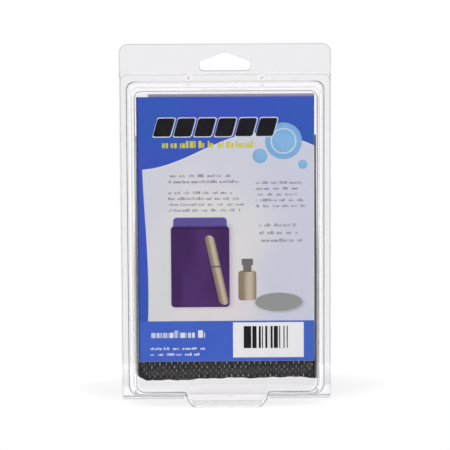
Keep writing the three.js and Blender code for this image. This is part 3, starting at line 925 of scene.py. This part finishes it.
def plainLines(tree, u, v, left, right, top, pitch, rows, height, seed, strokePitch):
    # rows of short strokes grouped like words, with no letters: mask = in the stroke * in the row * in the
    # word * in the block * tone. One random number for each stroke sets its tone and whether it is tall,
    # and one for each word its length
    wordPitch, rowShift = 5.3, 3.7
    down = -(v - top)
    row, inRow = (down / pitch).floor(), down.repeat(pitch)
    run = u + row * rowShift + seed
    wordLength = randomOf(tree, (run / wordPitch).floor(), row + seed) * 2.0 + 3.0
    inWord = (run.repeat(wordPitch) - wordLength).ramp(0.05, -0.05)
    stroke, inStroke = ((u + seed) / strokePitch).floor(), (u + seed).repeat(strokePitch)
    tone = randomOf(tree, stroke, row + seed * 2.0)
    wide = inStroke.ramp(0.08, 0.2) * inStroke.ramp(strokePitch, strokePitch * 0.8)
    riser = height * 0.3
    tallest = randomOf(tree, stroke + 7.0, row + seed).ramp(0.7, 0.72) * riser
    tall = (inRow + tallest).ramp(riser, riser + 0.3) * inRow.ramp(height + 0.15, height - 0.15)
    rowEnd = randomOf(tree, row, row + seed) * 0.22 * (right - left)
    within = (u - left).ramp(-0.02, 0.02) * (u + rowEnd - right).ramp(0.02, -0.02)
    within = within * (row + 0.5).ramp(-0.01, 0.01) * (row - (rows - 0.5)).ramp(0.01, -0.01)
    return wide * tall * inWord * within * (tone * 0.55 + 0.45)


def printMaterial(look, places):
    # the print in layers: each paint covers what lies below it, colour = below * (1 - mask) + over * mask
    material, tree, shader = newMaterial("card print", Roughness=0.32, Coat_Weight=0.35, Coat_Roughness=0.12)
    xyz, point = coordinates(tree)
    u, v = xyz[0] - look["left"], xyz[2] - look["bottom"]

    def paint(mask, over):
        nonlocal colour
        colour = colourMix(tree, mask, colour, over)

    def box(name, across=u):
        return boxMask(across, v, *places[name])

    tint = noise(tree, point, 0.021, 1.0)
    colour = colourMix(tree, tint.ramp(0.35, 0.6), look["bodyWarm"], look["body"])
    paint((noise(tree, point, 0.014, 1.0) + u * 0.003).ramp(0.52, 0.78), look["bodyCool"])
    # the blue field above a wave, a pale glow along the wave, and the narrow strip down the left edge
    cosine = (u * (math.pi / places["waveLength"])).math("COSINE")
    aboveWave = v - (-(cosine * places["waveHeight"]) + places["waveLevel"])
    strip = (v / places["stripLength"]).sine() * places["stripSwing"] + places["stripWidth"]
    shade = noise(tree, point, 0.03, 1.0).ramp(0.3, 0.7)
    paint(aboveWave.absolute().ramp(1.4, 0.3) * 0.35, look["white"])
    paint(aboveWave.ramp(-0.25, 0.25).atLeast((strip - u).ramp(-0.15, 0.15)),
          colourMix(tree, shade, look["blue"], look["blueDeep"]))
    # pale discs over the wave, each lighter up to the right, and a ring in the largest
    for centreU, centreV, radius, soft in places["discs"]:
        inner = radius * 0.8
        light = discMask(u, v, centreU + radius * 0.2, centreV + radius * 0.25, inner, inner, 0.5)
        paint(discMask(u, v, centreU, centreV, radius, radius, soft) * 0.94,
              colourMix(tree, light * 0.5, look["disc"], look["discLight"]))
    paint((discMask(u, v, *places["ringOuter"]) - discMask(u, v, *places["ringInner"])) * 0.5, look["white"])
    # a row of slanted dark blocks, and yellow strokes below it
    slant = u - (v - places["blockFoot"]) * places["blockLean"] - places["blockLeft"]
    number, inBlock = slant / places["blockPitch"], slant.repeat(places["blockPitch"])
    inRow = number.ramp(-0.001, 0.001) * (number - places["blockCount"]).ramp(0.001, -0.001)
    paint(box("blockRim", inBlock) * inRow, look["inkRim"])
    paint(box("block", inBlock) * inRow, look["ink"])
    paint(plainLines(tree, u, v, *places["yellowStrokes"]).ramp(0.2, 0.6) * 0.96, look["yellow"])
    for strokes in places["greyStrokes"]:
        paint(plainLines(tree, u, v, *strokes) * 0.85, look["textInk"])
    # picture: an upright pouch with a pen leaning on it and a small bottle beside it
    folds = noise(tree, point, 0.09, 2.0, stretch=(1, 1, 0.3)).ramp(0.35, 0.7)
    pouch = box("pouch")
    paint(box("shadow") * 0.35, look["shadow"])
    paint(box("flap"), look["purpleLight"])
    paint(pouch, colourMix(tree, folds, look["purple"], look["purpleFold"]))
    paint(box("hem") * pouch, look["hem"])
    shine = (u - (places["bottle"][0] + 1.2)).absolute().ramp(4.2, 0.4)
    paint(box("bottle"), colourMix(tree, shine, look["creamDark"], look["cream"]))
    paint(box("neck").atLeast(box("cap")), look["neck"])
    lean = u + (v - places["penFoot"]) * places["penLean"]
    shine = (lean - (places["pen"][0] + 0.6)).absolute().ramp(2.2, 0.2)
    paint(box("pen", lean), colourMix(tree, shine, look["creamDark"], look["cream"]))
    paint(box("penBand", lean), look["penBand"])
    paint(discMask(u, v, *places["badgeShade"]) * 0.4, look["badgeShade"])
    paint(discMask(u, v, *places["badge"]), look["badge"])
    # the bottom band with a white panel of plain bars
    bandTone = noise(tree, point, 0.05, 1.0).ramp(0.3, 0.7)
    paint((v - places["bandTop"]).ramp(0.12, -0.12),
          colourMix(tree, bandTone, look["band"], look["bandDeep"]))
    paint(box("panel"), look["white"])
    bar = (u / places["barPitch"]).floor()
    dark = (randomOf(tree, bar, bar * 0.0) - 0.45).ramp(-0.01, 0.01)
    paint(dark * box("bars"), look["ink"])
    for strokes in places["whiteStrokes"]:
        paint(plainLines(tree, u, v, *strokes).ramp(0.2, 0.7) * 0.9, look["white"])
    # painted shade darkens the print along the left edge, and a narrow lip stands above the print, coloured
    # with painted shade in lilac-grey and a painted highlight in white at its left end
    paint(u.ramp(1.5, 0.5) * 0.85, look["leftEdgeShade"])
    aboveLip = v - places["lipShadeLow"]
    lip = colourMix(tree, aboveLip.ramp(0.0, 1.6), look["lipShadeLow"], look["lipShadeHigh"])
    paint(aboveLip.ramp(-0.15, 0.1), colourMix(tree, u.ramp(7.5, 6.0), lip, look["white"]))
    plug(tree, colour, shader, "Base Color")
    grain = noise(tree, point, 3.0, 2.0)
    plug(tree, relief(tree, grain, 0.01, 0.4), shader, "Normal")
    plug(tree, grain * 0.12 + 0.26, shader, "Roughness")
    return material


def boardMaterial():
    # bare board: colour and relief both follow one fibre noise
    material, tree, shader = newMaterial("card board", Roughness=0.7)
    xyz, point = coordinates(tree)
    fibres = noise(tree, point, 2.2, 3.0)
    plug(tree, colourMix(tree, fibres, srgb(228, 227, 222), srgb(240, 239, 236)), shader, "Base Color")
    plug(tree, relief(tree, fibres, 0.02, 0.5), shader, "Normal")
    return material


def makeCard(look, places):
    # rings of one sharp rectangle: front face with the print, a tiny round over each edge, back face
    turn, front, back = look["edgeRound"], look["front"], look["front"] + look["thickness"]
    near = ((0, 1.0), (0, turn), (turn * 0.3, turn * 0.3), (turn, 0))
    steps = [(front + y, drawn) for y, drawn in near] + [(back - y, drawn) for y, drawn in near[::-1]]
    half, high = look["width"] / 2, look["bottom"] + look["height"] + look["lip"]
    rings = boxRings(half, look["bottom"], high, look["corner"], 4, steps, look["left"] + half)
    points, faces = closedRings(rings)
    kinds = np.ones(len(faces), int)
    kinds[:len(rings[0])] = 0
    kinds[-2] = 0
    materials = [printMaterial(look, places), boardMaterial()]
    return makePiece("insert_card_printed", points, faces, materials, kinds)


card = makeCard(cardLook, printPlaces)
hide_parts("insert_card")
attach(card, "card")
print("card printed")

walletMiddle = -10.9
seamHalf = 0.15
coverLook = {
    "half": 51.85,
    "bottom": 13.7,
    "top": 155.7,
    "seam": 3.0,
    "bottomSeam": 2.5,
    "shoulder": 6.0,
    "fabric": 1.2,
    "inside": 5.95,
    "drop": 0.4,
    "lift": 2.0,
    "dip": 1.3,
    "dipFrom": 36.0,
    "dipTo": 48.0,
    "cutWide": 6.6,
    "cutHigh": 3.3,
    "wave": 0.44,
    "bellyLeft": 0.8,
    "bellyRight": 1.0,
    "bellyLow": 72.0,
    "bellyHigh": 135.0,
    "tapeEnd": 0.1,
    "tapeCorner": 0.2,
    "tapeCutEnd": (-0.4, 0.25),
    "tapeTurn": (2.2, 1.6),
}
sleeveLook = {
    "half": 45.5,
    "bottom": 19.7,
    "top": 155.7,
    "seam": 3.0,
    "bottomSeam": 3.0,
    "shoulder": 5.0,
    "fabric": 0.6,
    "lining": 0.4,
    "core": 1.8,
    "layerGap": 0.15,
    "pocket": 2.1,
    "bindingLift": 2.65,
}
coreLook = {"half": 37.0, "low": 28.2, "high": 151.7, "corner": 4.0}
# steps: depth from the wallet's middle, and how far the tuck's edge is drawn in there
dividerLook = {"half": 0.6, "low": 28.2, "high": 127.7, "corner": 0.15,
               "steps": ((-1.8, 0.4), (-1.74, 0.12), (-1.5, 0.0), (1.5, 0.0), (1.74, 0.12), (1.8, 0.4))}
tapeLook = {"thickness": 0.3, "gap": 0.15, "leg": 2.5, "foldRound": 0.75, "mouthEnd": 47, "mouthTurn": 42.5}
stitchLook = {"length": 1.9, "width": 0.34, "inset": 1.7, "first": 1.6, "last": 1.0, "lift": 0.03,
              "along": (-0.5, -0.36, 0, 0.36, 0.5), "girth": (0.15, 0.85, 1.0, 0.85, 0.15)}


def sag(x, z):
    # unevenness that all the wallet's layers share, so that they keep their distances: a sum of two waves
    return 0.10 * np.sin(x / 15.0 + 0.8) * np.sin(z / 19.0 + 0.3) + 0.06 * np.sin(x / 6.1 - z / 13.0)


def fullness(distance, seam, shoulder):
    # sine of the share of the way across the shoulder
    return np.sin(np.clip((distance - seam) / shoulder, 0, 1) * np.pi / 2)


def coverBottom(x):
    # the cover's bottom edge: bottom - drop + lift * share of the way to the right - a smooth dip at the
    # right end + a sum of sines that fades at both ends, and cut off at the left corner
    look = coverLook
    share = (x + look["half"]) / (2 * look["half"])
    dip = smooth((x - look["dipFrom"]) / (look["dipTo"] - look["dipFrom"]))
    wavy = np.sin(x / 3.1) * 0.5 + np.sin(x / 1.37 + 1.0) * 0.35 + np.sin(x / 7.9 + 2.0) * 0.6
    wavy = look["wave"] * wavy * np.clip((look["half"] - np.abs(x)) / 4, 0, 1)
    cut = look["cutHigh"] * np.clip(1 - (x + look["half"]) / look["cutWide"], 0, 1)
    return look["bottom"] - look["drop"] + look["lift"] * share - look["dip"] * dip + wavy + cut


def belly(x, z):
    # how far the cover's sides stand out low down: belly * (x / half)^2 * smooth fall from bellyLow to
    # bellyHigh
    look = coverLook
    fall = smooth((look["bellyHigh"] - z) / (look["bellyHigh"] - look["bellyLow"]))
    return np.where(x > 0, look["bellyRight"], -look["bellyLeft"]) * (x / look["half"]) ** 2 * fall


def sleeveBottom(x):
    # the sleeve's bottom edge is straight
    return np.full_like(x, sleeveLook["bottom"])


def coverInner(full):
    # the cover's inner face: seamHalf + (inside - seamHalf) * fullness
    return seamHalf + (coverLook["inside"] - seamHalf) * full


def liningInner(full):
    # the pocket's face of the lining: seamHalf + (pocket - seamHalf) * fullness
    return seamHalf + (sleeveLook["pocket"] - seamHalf) * full


def fabricInner(full):
    # the sleeve cloth's inner face: lining's face + lining + gap + (core + gap) * fullness
    look = sleeveLook
    return liningInner(full) + look["lining"] + look["layerGap"] + (look["core"] + look["layerGap"]) * full


def pouchGrid(look, bottomOf, columns=112, rows=120):
    # columns are closer together across the shoulders; rows run from the bottom edge to the mouth, at the
    # height z = bottom + share * (top - bottom)
    half, seam, shoulder = look["half"], look["seam"], look["shoulder"]
    bend0, bend1 = -half + seam, -half + seam + shoulder
    edge = np.concatenate([np.linspace(-half, bend0, 5)[:-1], np.linspace(bend0, bend1, 13)[:-1]])
    x = np.concatenate([edge, np.linspace(bend1, -bend1, columns - 2 * len(edge)), -edge[::-1]])
    knee = look["bottomSeam"] + shoulder
    low = np.linspace(0, knee, 16)[:-1]
    up = np.concatenate([low, np.linspace(knee, look["top"] - look["bottom"], rows - len(low))])
    x, share = np.meshgrid(x, up / up[-1])
    bottom = bottomOf(x)
    z = bottom + share * (look["top"] - bottom)
    full = fullness(half - np.abs(x), seam, shoulder) * fullness(z - bottom, look["bottomSeam"], shoulder)
    return (x + belly(x, z) if look is coverLook else x), z, full


def pouchPanel(name, look, side, bottomOf, innerOf, thickness, material):
    # one layer between y = middle + sag + side * innerOf(fullness) and the same plus side * thickness
    x, z, full = pouchGrid(look, bottomOf)
    near = walletMiddle + sag(x, z) + side * innerOf(full)
    points, faces = slab(np.stack([x, near + side * thickness, z], axis=-1), np.stack([x, near, z], axis=-1))
    return makePiece(name, points, faces, [material], smoothAngle=60, outward=True)


def uSection(halfSeam, look, count=7):
    # closed outline of a tape folded over an edge, as (distance inwards from the edge, distance across):
    # along its outer side and back along its inner side
    leg, thick, gap = look["leg"], look["thickness"], look["gap"]
    outerHalf = halfSeam + gap + thick
    turn = min(look["foldRound"], outerHalf * 0.9)
    sides = []
    for half, fold, r in ((outerHalf, -gap - thick, turn), (outerHalf - thick, -gap, max(turn - thick, 0.2))):
        sides.append(np.concatenate([[[leg, half], [leg / 2, half]],
                                     arc(fold + r, half - r, r, 90, 180, count),
                                     arc(fold + r, -half + r, r, 180, 270, count),
                                     [[leg / 2, -half], [leg, -half]]]))
    return np.concatenate([sides[0], sides[1][::-1]])


def tapeAlong(name, path, inwards, halfSeam, material):
    # the section carried along a path in X and Z: point = path + inwards * a, y = middle + sag + b
    section = uSection(halfSeam, tapeLook)
    flat = path[:, None, :] + inwards[:, None, :] * section[None, :, :1]
    x, z = flat[..., 0], flat[..., 1]
    y = walletMiddle + sag(x, z) + section[None, :, 1]
    return ringPiece(name, np.stack([x, y, z], axis=-1), material)


def mouthTape(name, side, material):
    # the section carried along the mouth, over the layer's curve; it ends where the two layers meet
    look, end, turn = coverLook, tapeLook["mouthEnd"], tapeLook["mouthTurn"]
    corner = np.linspace(turn, end, 8)[1:]
    x = np.concatenate([-corner[::-1], np.linspace(-turn, turn, 60), corner])
    full = fullness(look["half"] - np.abs(x), look["seam"], look["shoulder"])
    section = uSection(look["fabric"] / 2, tapeLook)
    centre = walletMiddle + side * (coverInner(full) + look["fabric"] / 2)
    x = np.broadcast_to(x[:, None], (len(x), len(section)))
    z = np.broadcast_to(look["top"] - section[None, :, 0], x.shape)
    y = centre[:, None] + sag(x, z) + section[None, :, 1]
    return ringPiece(name, np.stack([x, y, z], axis=-1), material)


def edgePath(look, side, bottomZ, count=60):
    # straight down one side of a pouch, from its mouth to its bottom end, and the direction inwards
    z = np.linspace(look["top"], bottomZ, count)
    path = np.stack([np.full_like(z, side * look["half"]), z], axis=-1)
    return path, np.tile([-side, 0.0], (count, 1))


def coverSidePath(side):
    # the cover's side edge with its belly; on the left it turns in along the cut corner
    look = coverLook
    half, cutX = look["half"], look["cutWide"] - look["half"]
    if side > 0:
        path, inwards = edgePath(look, side, coverBottom(half) + look["tapeEnd"])
        path[:, 0] += belly(path[:, 0], path[:, 1])
        return path, inwards
    corner = np.array([-half, coverBottom(-half) + look["tapeCorner"]])
    end = np.array([cutX, coverBottom(cutX)]) + look["tapeCutEnd"]
    turned = corner + (end - corner) / np.hypot(*(end - corner)) * look["tapeTurn"][1]
    above = corner + [0, look["tapeTurn"][0]]
    path = np.concatenate([line((-half, look["top"]), above, 56), bend(above, corner, turned, 10)[1:],
                           line(turned, end, 6)[1:]])
    path[:, 0] += belly(path[:, 0], path[:, 1])
    step = np.gradient(path, axis=0)
    step /= np.hypot(step[:, 0], step[:, 1])[:, None]
    return path, np.stack([-step[:, 1], step[:, 0]], axis=-1)


def stitchRow(name, places, directions, normals, material):
    # one small closed stitch at each place: place + direction * a + across * b + normal * c, where (b, c)
    # goes round a circle that narrows towards the stitch's ends
    look = stitchLook
    turn = np.linspace(0, 2 * np.pi, 7)[:-1]
    along, girth = np.array(look["along"])[:, None], np.array(look["girth"])[:, None]
    a = (along * look["length"] + 0 * turn).reshape(-1)
    b = (girth * np.cos(turn) * look["width"] / 2).reshape(-1)
    c = (girth * np.sin(turn) * look["width"] / 2).reshape(-1)
    across = np.cross(directions, normals)
    points = (places[:, None] + directions[:, None] * a[None, :, None] + across[:, None] * b[None, :, None]
              + normals[:, None] * c[None, :, None])
    n = len(a)
    one = gridQuads(len(along), len(turn), wrap=True)
    one += [list(range(len(turn) - 1, -1, -1)), list(range(n - len(turn), n))]
    faces = [[v + n * k for v in face] for k in range(len(places)) for face in one]
    return makePiece(name, points.reshape(-1, 3), faces, [material], smoothAngle=60, outward=True)


def seamStitches(name, path, inwards, halfSeam, material, pitch=3.1):
    # stitches at even steps along a tape, on its front and its back
    look = stitchLook
    place = path + inwards * look["inset"]
    gone = np.concatenate([[0], np.cumsum(np.hypot(*np.diff(place, axis=0).T))])
    at = np.arange(look["first"], gone[-1] - look["last"], pitch)
    x, z, nextX, nextZ = (np.interp(way, gone, place[:, i]) for way in (at, at + 0.1) for i in (0, 1))
    ahead = np.stack([nextX - x, np.zeros_like(at), nextZ - z], -1)
    ahead /= np.linalg.norm(ahead, axis=1)[:, None]
    lift = halfSeam + tapeLook["gap"] + tapeLook["thickness"] + look["lift"]
    places = [np.stack([x, walletMiddle + sag(x, z) + face * lift, z], -1) for face in (-1, 1)]
    normals = [np.tile([0.0, face, 0.0], (len(at), 1)) for face in (-1, 1)]
    return stitchRow(name, np.concatenate(places), np.tile(ahead, (2, 1)), np.concatenate(normals), material)


def makeCore(name, side, look):
    # a pad with a soft round edge: a half circle of the core's thickness, carried round its outline
    r = sleeveLook["core"] / 2
    near = sleeveLook["pocket"] + sleeveLook["lining"] + sleeveLook["layerGap"]
    steps = [(walletMiddle + side * (near + r * (1 - math.sin(angle))), r * (1 - math.cos(angle)))
             for angle in np.radians(np.linspace(90, -90, 9))]
    rings = boxRings(look["half"], look["low"], look["high"], look["corner"], 9, steps)
    return ringPiece(name, rings, feltCore)


# the knit's sizes in millimetres: rows of flecks, the flecks in a row, and the ribs and loops of the ground
meshLook = {
    "rowPitch": 2.1,
    "fleckPitch": 3.2,
    "wale": 1.07,
    "course": 0.7,
    "drift": 1.6,
    "dark": srgb(17, 16, 20),
    "light": srgb(60, 58, 57),
    "knit": srgb(42, 41, 43),
    "fleck": srgb(182, 179, 175),
}


def meshClothMaterial(look):
    # charcoal knitted mesh with pale upright flecks: every second row is shifted by half a pitch, and a
    # random number for each fleck moves it and sets its brightness
    material, tree, shader = newMaterial("charcoal mesh cloth", Roughness=0.82, Sheen_Weight=0.25,
                                         Sheen_Roughness=0.5)
    (x, y, z), point = coordinates(tree)
    drift = (noise(tree, point, 0.11, 2.0) - 0.5) * look["drift"]
    up = z + drift
    row, inRow = (up / look["rowPitch"]).floor(), up.repeat(look["rowPitch"])
    run = x + row.repeat(2.0) * (look["fleckPitch"] / 2) + drift * 0.6
    chance = randomOf(tree, (run / look["fleckPitch"]).floor(), row)
    place = run.repeat(look["fleckPitch"]) - look["fleckPitch"] / 2 + (chance - 0.5) * 0.7
    fleck = place.absolute().ramp(0.42, 0.14) * (inRow - 0.8 - chance * 0.5).absolute().ramp(1.0, 0.45)
    wales = x.ribs(look["wale"])
    knit = wales * (z + wales * 0.25).ribs(look["course"])
    patch = noise(tree, point, 0.5, 3.0, stretch=(1, 1, 0.6))
    ground = colourMix(tree, patch.ramp(0.35, 0.7), look["dark"], look["light"])
    ground = colourMix(tree, knit * 0.5, ground, look["knit"])
    plug(tree, colourMix(tree, fleck * (chance * 0.85 + 0.1), ground, look["fleck"]), shader, "Base Color")
    plug(tree, relief(tree, knit * 0.45 + fleck * 0.55, 0.45, 0.9), shader, "Normal")
    return material


def ribbedTape(name, dark, light, pitch=0.5):
    # woven tape: fine ribs across its width, with a little colour change from thread to thread
    material, tree, shader = newMaterial(name, Roughness=0.75, Sheen_Weight=0.3, Sheen_Roughness=0.4)
    (x, y, z), point = coordinates(tree)
    ribs = (x + z).ribs(pitch)
    threads = (x - z + y * 2.0).ribs(pitch * 0.7)
    fluff = noise(tree, point, 1.6, 3.0)
    plug(tree, colourMix(tree, (ribs * 0.5 + fluff * 0.5).ramp(0.25, 0.8), dark, light), shader, "Base Color")
    plug(tree, relief(tree, ribs * 0.7 + threads * 0.3, 0.12, 0.8), shader, "Normal")
    return material


def wovenMaterial(name, dark, light, pitch, sheen=0.4, roughness=0.7, height=0.12):
    # plain weave: warp and weft bumps take turns, sin(x) * sin(z), with slow colour drift
    material, tree, shader = newMaterial(name, Roughness=roughness, Sheen_Weight=sheen, Sheen_Roughness=0.45)
    (x, y, z), point = coordinates(tree)
    warp = (x * (2 * math.pi / pitch)).sine()
    weft = (z * (2 * math.pi / pitch)).sine()
    weave = warp * weft * 0.5 + 0.5
    slow = noise(tree, point, 0.09, 3.0).ramp(0.3, 0.7)
    slub = noise(tree, point, 1.2, 2.0, stretch=(1, 1, 0.12))
    amount = weave * 0.35 + slow * 0.4 + slub * 0.35
    plug(tree, colourMix(tree, amount.ramp(0.2, 0.9), dark, light), shader, "Base Color")
    plug(tree, relief(tree, weave + slub * 0.6, height, 0.8), shader, "Normal")
    return material


def feltMaterial():
    # matted fibres: a fine noise stretched upwards, with larger tufts
    material, tree, shader = newMaterial("absorbent felt", Roughness=0.95, Sheen_Weight=0.5,
                                         Sheen_Roughness=0.6)
    xyz, point = coordinates(tree)
    fibres = noise(tree, point, 2.4, 5.0, stretch=(1, 1, 0.5), roughness=0.7)
    tufts = noise(tree, point, 0.35, 3.0)
    amount = (fibres * 0.6 + tufts * 0.4).ramp(0.3, 0.7)
    plug(tree, colourMix(tree, amount, srgb(196, 193, 184), srgb(226, 224, 217)), shader, "Base Color")
    plug(tree, relief(tree, fibres + tufts, 0.25, 0.8), shader, "Normal")
    return material


meshCloth = meshClothMaterial(meshLook)
darkTape = ribbedTape("charcoal woven tape", srgb(24, 24, 28), srgb(46, 46, 52))
darkThread = ribbedTape("charcoal thread", srgb(52, 52, 58), srgb(84, 84, 90), 0.3)
purpleCloth = wovenMaterial("purple woven cloth", srgb(50, 36, 96), srgb(92, 74, 150), 0.55)
purpleTape = ribbedTape("purple woven tape", srgb(46, 34, 90), srgb(76, 60, 128))
purpleThread = ribbedTape("purple thread", srgb(112, 96, 168), srgb(140, 124, 190), 0.3)
liningCloth = wovenMaterial("grey lining cloth", srgb(132, 134, 144), srgb(166, 168, 178), 0.8, 0.2, 0.5,
                            0.06)
feltCore = feltMaterial()
print("wallet materials made")

coverSeamHalf = seamHalf + coverLook["fabric"]
for where, side in (("front", -1), ("back", 1)):
    panel = pouchPanel(f"cover_{where}_cloth", coverLook, side, coverBottom, coverInner, coverLook["fabric"],
                       meshCloth)
    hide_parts(f"cover_{where}_panel")
    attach(panel, "wallet_cover")
    tape = mouthTape(f"cover_mouth_binding_{where}", side, darkTape)
    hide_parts(f"cover_mouth_tape_{where}")
    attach(tape, "wallet_cover")

for where, side in (("left", -1), ("right", 1)):
    path, inwards = coverSidePath(side)
    tape = tapeAlong(f"cover_side_binding_{where}", path, inwards, coverSeamHalf, darkTape)
    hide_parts(f"cover_seam_tape_{where}")
    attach(tape, "wallet_cover")
    stitches = seamStitches(f"cover_side_stitches_{where}", path, inwards, coverSeamHalf, darkThread)
    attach(stitches, "wallet_cover")
print("cover sewn")

sleeveSeamHalf = seamHalf + sleeveLook["lining"] + sleeveLook["layerGap"] + sleeveLook["fabric"]
for where, side in (("front", -1), ("back", 1)):
    cloth = pouchPanel(f"sleeve_{where}_cloth", sleeveLook, side, sleeveBottom, fabricInner,
                       sleeveLook["fabric"], purpleCloth)
    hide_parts(f"sleeve_{where}_fabric")
    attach(cloth, "inner_sleeve")
    lining = pouchPanel(f"sleeve_{where}_inner_cloth", sleeveLook, side, sleeveBottom, liningInner,
                        sleeveLook["lining"], liningCloth)
    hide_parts(f"sleeve_{where}_lining")
    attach(lining, "inner_sleeve")
    core = makeCore(f"absorbent_pad_{where}", side, coreLook)
    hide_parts(f"absorbent_core_{where}")
    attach(core, "inner_sleeve")

# the bindings of the sleeve's two sides and its bottom: piece word, node word, path and the way inwards
bottomX = np.linspace(-sleeveLook["half"], sleeveLook["half"], 40)
bottomPath = np.stack([bottomX, sleeveBottom(bottomX)], -1)
bindingEnd = sleeveLook["bottom"] + sleeveLook["bindingLift"]
for word, where, path, inwards in (
    ("side_{}_left", "left", *edgePath(sleeveLook, -1, bindingEnd)),
    ("side_{}_right", "right", *edgePath(sleeveLook, 1, bindingEnd)),
    ("base_{}", "bottom", bottomPath, np.tile([0.0, 1.0], (len(bottomPath), 1))),
):
    tape = tapeAlong("sleeve_" + word.format("binding"), path, inwards, sleeveSeamHalf, purpleTape)
    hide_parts(f"sleeve_binding_{where}")
    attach(tape, "inner_sleeve")
    stitches = seamStitches("sleeve_" + word.format("stitches"), path, inwards, sleeveSeamHalf, purpleThread,
                            2.6)
    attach(stitches, "inner_sleeve")

# a narrow flat tuck between the two linings
steps = [(walletMiddle + y, drawn) for y, drawn in dividerLook["steps"]]
size = [dividerLook[k] for k in ("half", "low", "high", "corner")]
divider = ringPiece("sleeve_divider_tuck", boxRings(*size, 4, steps), liningCloth)
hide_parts("sleeve_divider")
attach(divider, "inner_sleeve")
print("sleeve sewn")

lightLook = {
    "worldDiffuse": 0.12,
    "backdrop": 1.0,
    "roomDark": 0.05,
    "roomSide": (0.1, 0.5),
    "roomEnd": (0.92, 0.97),
    "endFront": 0.05,
    "endBack": 0.65,
    "floorGlow": 0.57,
    "floorColour": 0.34,
    "floorHalf": (0.16, 0.1),
    "floorMiddle": 0.05,
    "rimGlow": 0.14,
    "rimRise": (0.35, 0.9),
    "aim": (0, 0, 0.1),
    "lamps": (
        ("left lamp", (-0.95, -1.05, 0.55), 0.7, 19.2),
        ("right lamp", (1.05, -0.95, 0.4), 0.8, 17.8),
        ("top lamp", (0.0, -0.2, 1.5), 0.9, 8.0),
        ("back left lamp", (-0.95, 1.05, 0.5), 0.8, 12.5),
        ("back right lamp", (0.9, 1.1, 0.45), 0.8, 13.6),
    ),
}


def rayIs(tree, *kinds):
    # 1 where the ray is of one of the kinds
    seen = [wireOf(tree, "LightPath", f"Is {kind} Ray") for kind in kinds]
    return functools.reduce(Wire.atLeast, seen)


def makeWorld(look):
    # the camera sees white, straight or through clear plastic. A ray that was reflected on its way sees a
    # room that is dark at its sides and dim at its ends: level = side(|y|) * (1 - end(|y|) * (1 - end
    # level)); diffuse rays see an even light
    world = bpy.data.worlds.new("studio")
    bpy.context.scene.world = world
    world.use_nodes = True
    tree = world.node_tree
    y = axesOf(tree, wireOf(tree, "TexCoord", "Generated"))[1]
    endLevel = y.ramp(-0.1, 0.1) * (look["endBack"] - look["endFront"]) + look["endFront"]
    end = -(y.absolute().ramp(*look["roomEnd"])) * (-(endLevel - 1.0)) + 1.0
    room = (y.absolute().ramp(*look["roomSide"]) * end).atLeast(look["roomDark"])
    direct = rayIs(tree, "Camera", "Transmission")
    reflected = wireOf(tree, "LightPath", "Glossy Depth").atMost(1.0)
    level = direct * look["backdrop"] + (-(direct - 1.0)) * look["worldDiffuse"]
    level = reflected * room + (-(reflected - 1.0)) * level
    tree.nodes["Background"].inputs["Color"].default_value = (1, 1, 1, 1)
    plug(tree, level, tree.nodes["Background"], "Strength")


def floorMaterial(look):
    # pale floor that keeps the shadow, and glows for what the camera sees, a little more towards its rim so
    # that it ends in plain white: glow = floorGlow + rimGlow * ramp(sqrt((x / wide)^2 + ((y - middle) /
    # deep)^2))
    colour = (look["floorColour"],) * 3 + (1,)
    material, tree, shader = newMaterial("floor white", Base_Color=colour, Roughness=0.9,
                                         Specular_IOR_Level=0.0)
    wide, deep = look["floorHalf"]
    x, y, z = axesOf(tree, wireOf(tree, "TexCoord", "Object"))
    across, along = x / wide, (y - look["floorMiddle"]) / deep
    away = (across * across + along * along).root()
    level = away.ramp(*look["rimRise"]) * look["rimGlow"] + look["floorGlow"]
    glow = wireOf(tree, "Emission", 0, {"Strength": rayIs(tree, "Camera", "Glossy", "Transmission") * level})
    both = wireOf(tree, "AddShader", 0, {0: Wire(tree, shader.outputs[0]), 1: glow})
    plug(tree, both, tree.nodes["Material Output"], "Surface")
    return material


def makeFloor(look):
    # an oval under the foot: rings of growing ellipses, (wide * r cos t, deep * r sin t + middle, 0)
    turn = np.linspace(0, 2 * np.pi, 65)[:-1]
    rings = np.linspace(0.1, 1, 5)[:, None]
    wide, deep = look["floorHalf"]
    points = np.stack([rings * np.cos(turn) * wide, rings * np.sin(turn) * deep + look["floorMiddle"],
                       0 * rings * turn], -1)
    faces = [quad[::-1] for quad in gridQuads(len(rings), len(turn), wrap=True)] + [list(range(len(turn)))]
    mesh = bpy.data.meshes.new("floor")
    mesh.from_pydata(points.reshape(-1, 3).tolist(), [], faces)
    mesh.materials.append(floorMaterial(look))
    floor = addObject("floor", mesh)


def makeLamps(look):
    # square soft lamps turned towards the middle of the case; only the top one shows in reflections
    for name, place, size, power in look["lamps"]:
        data = bpy.data.lights.new(name, "AREA")
        data.shape = "SQUARE"
        data.size = size
        data.energy = power
        lamp = addObject(name, data)
        lamp.visible_transmission = False
        lamp.visible_glossy = name == "top lamp"
        lamp.location = place
        lamp.rotation_euler = (Vector(look["aim"]) - Vector(place)).to_track_quat("-Z", "Y").to_euler()


makeWorld(lightLook)
makeFloor(lightLook)
makeLamps(lightLook)
bpy.context.scene.cycles.caustics_reflective = False
bpy.context.scene.cycles.caustics_refractive = False
bpy.context.scene.view_settings.view_transform = "Standard"
print("light and floor made")
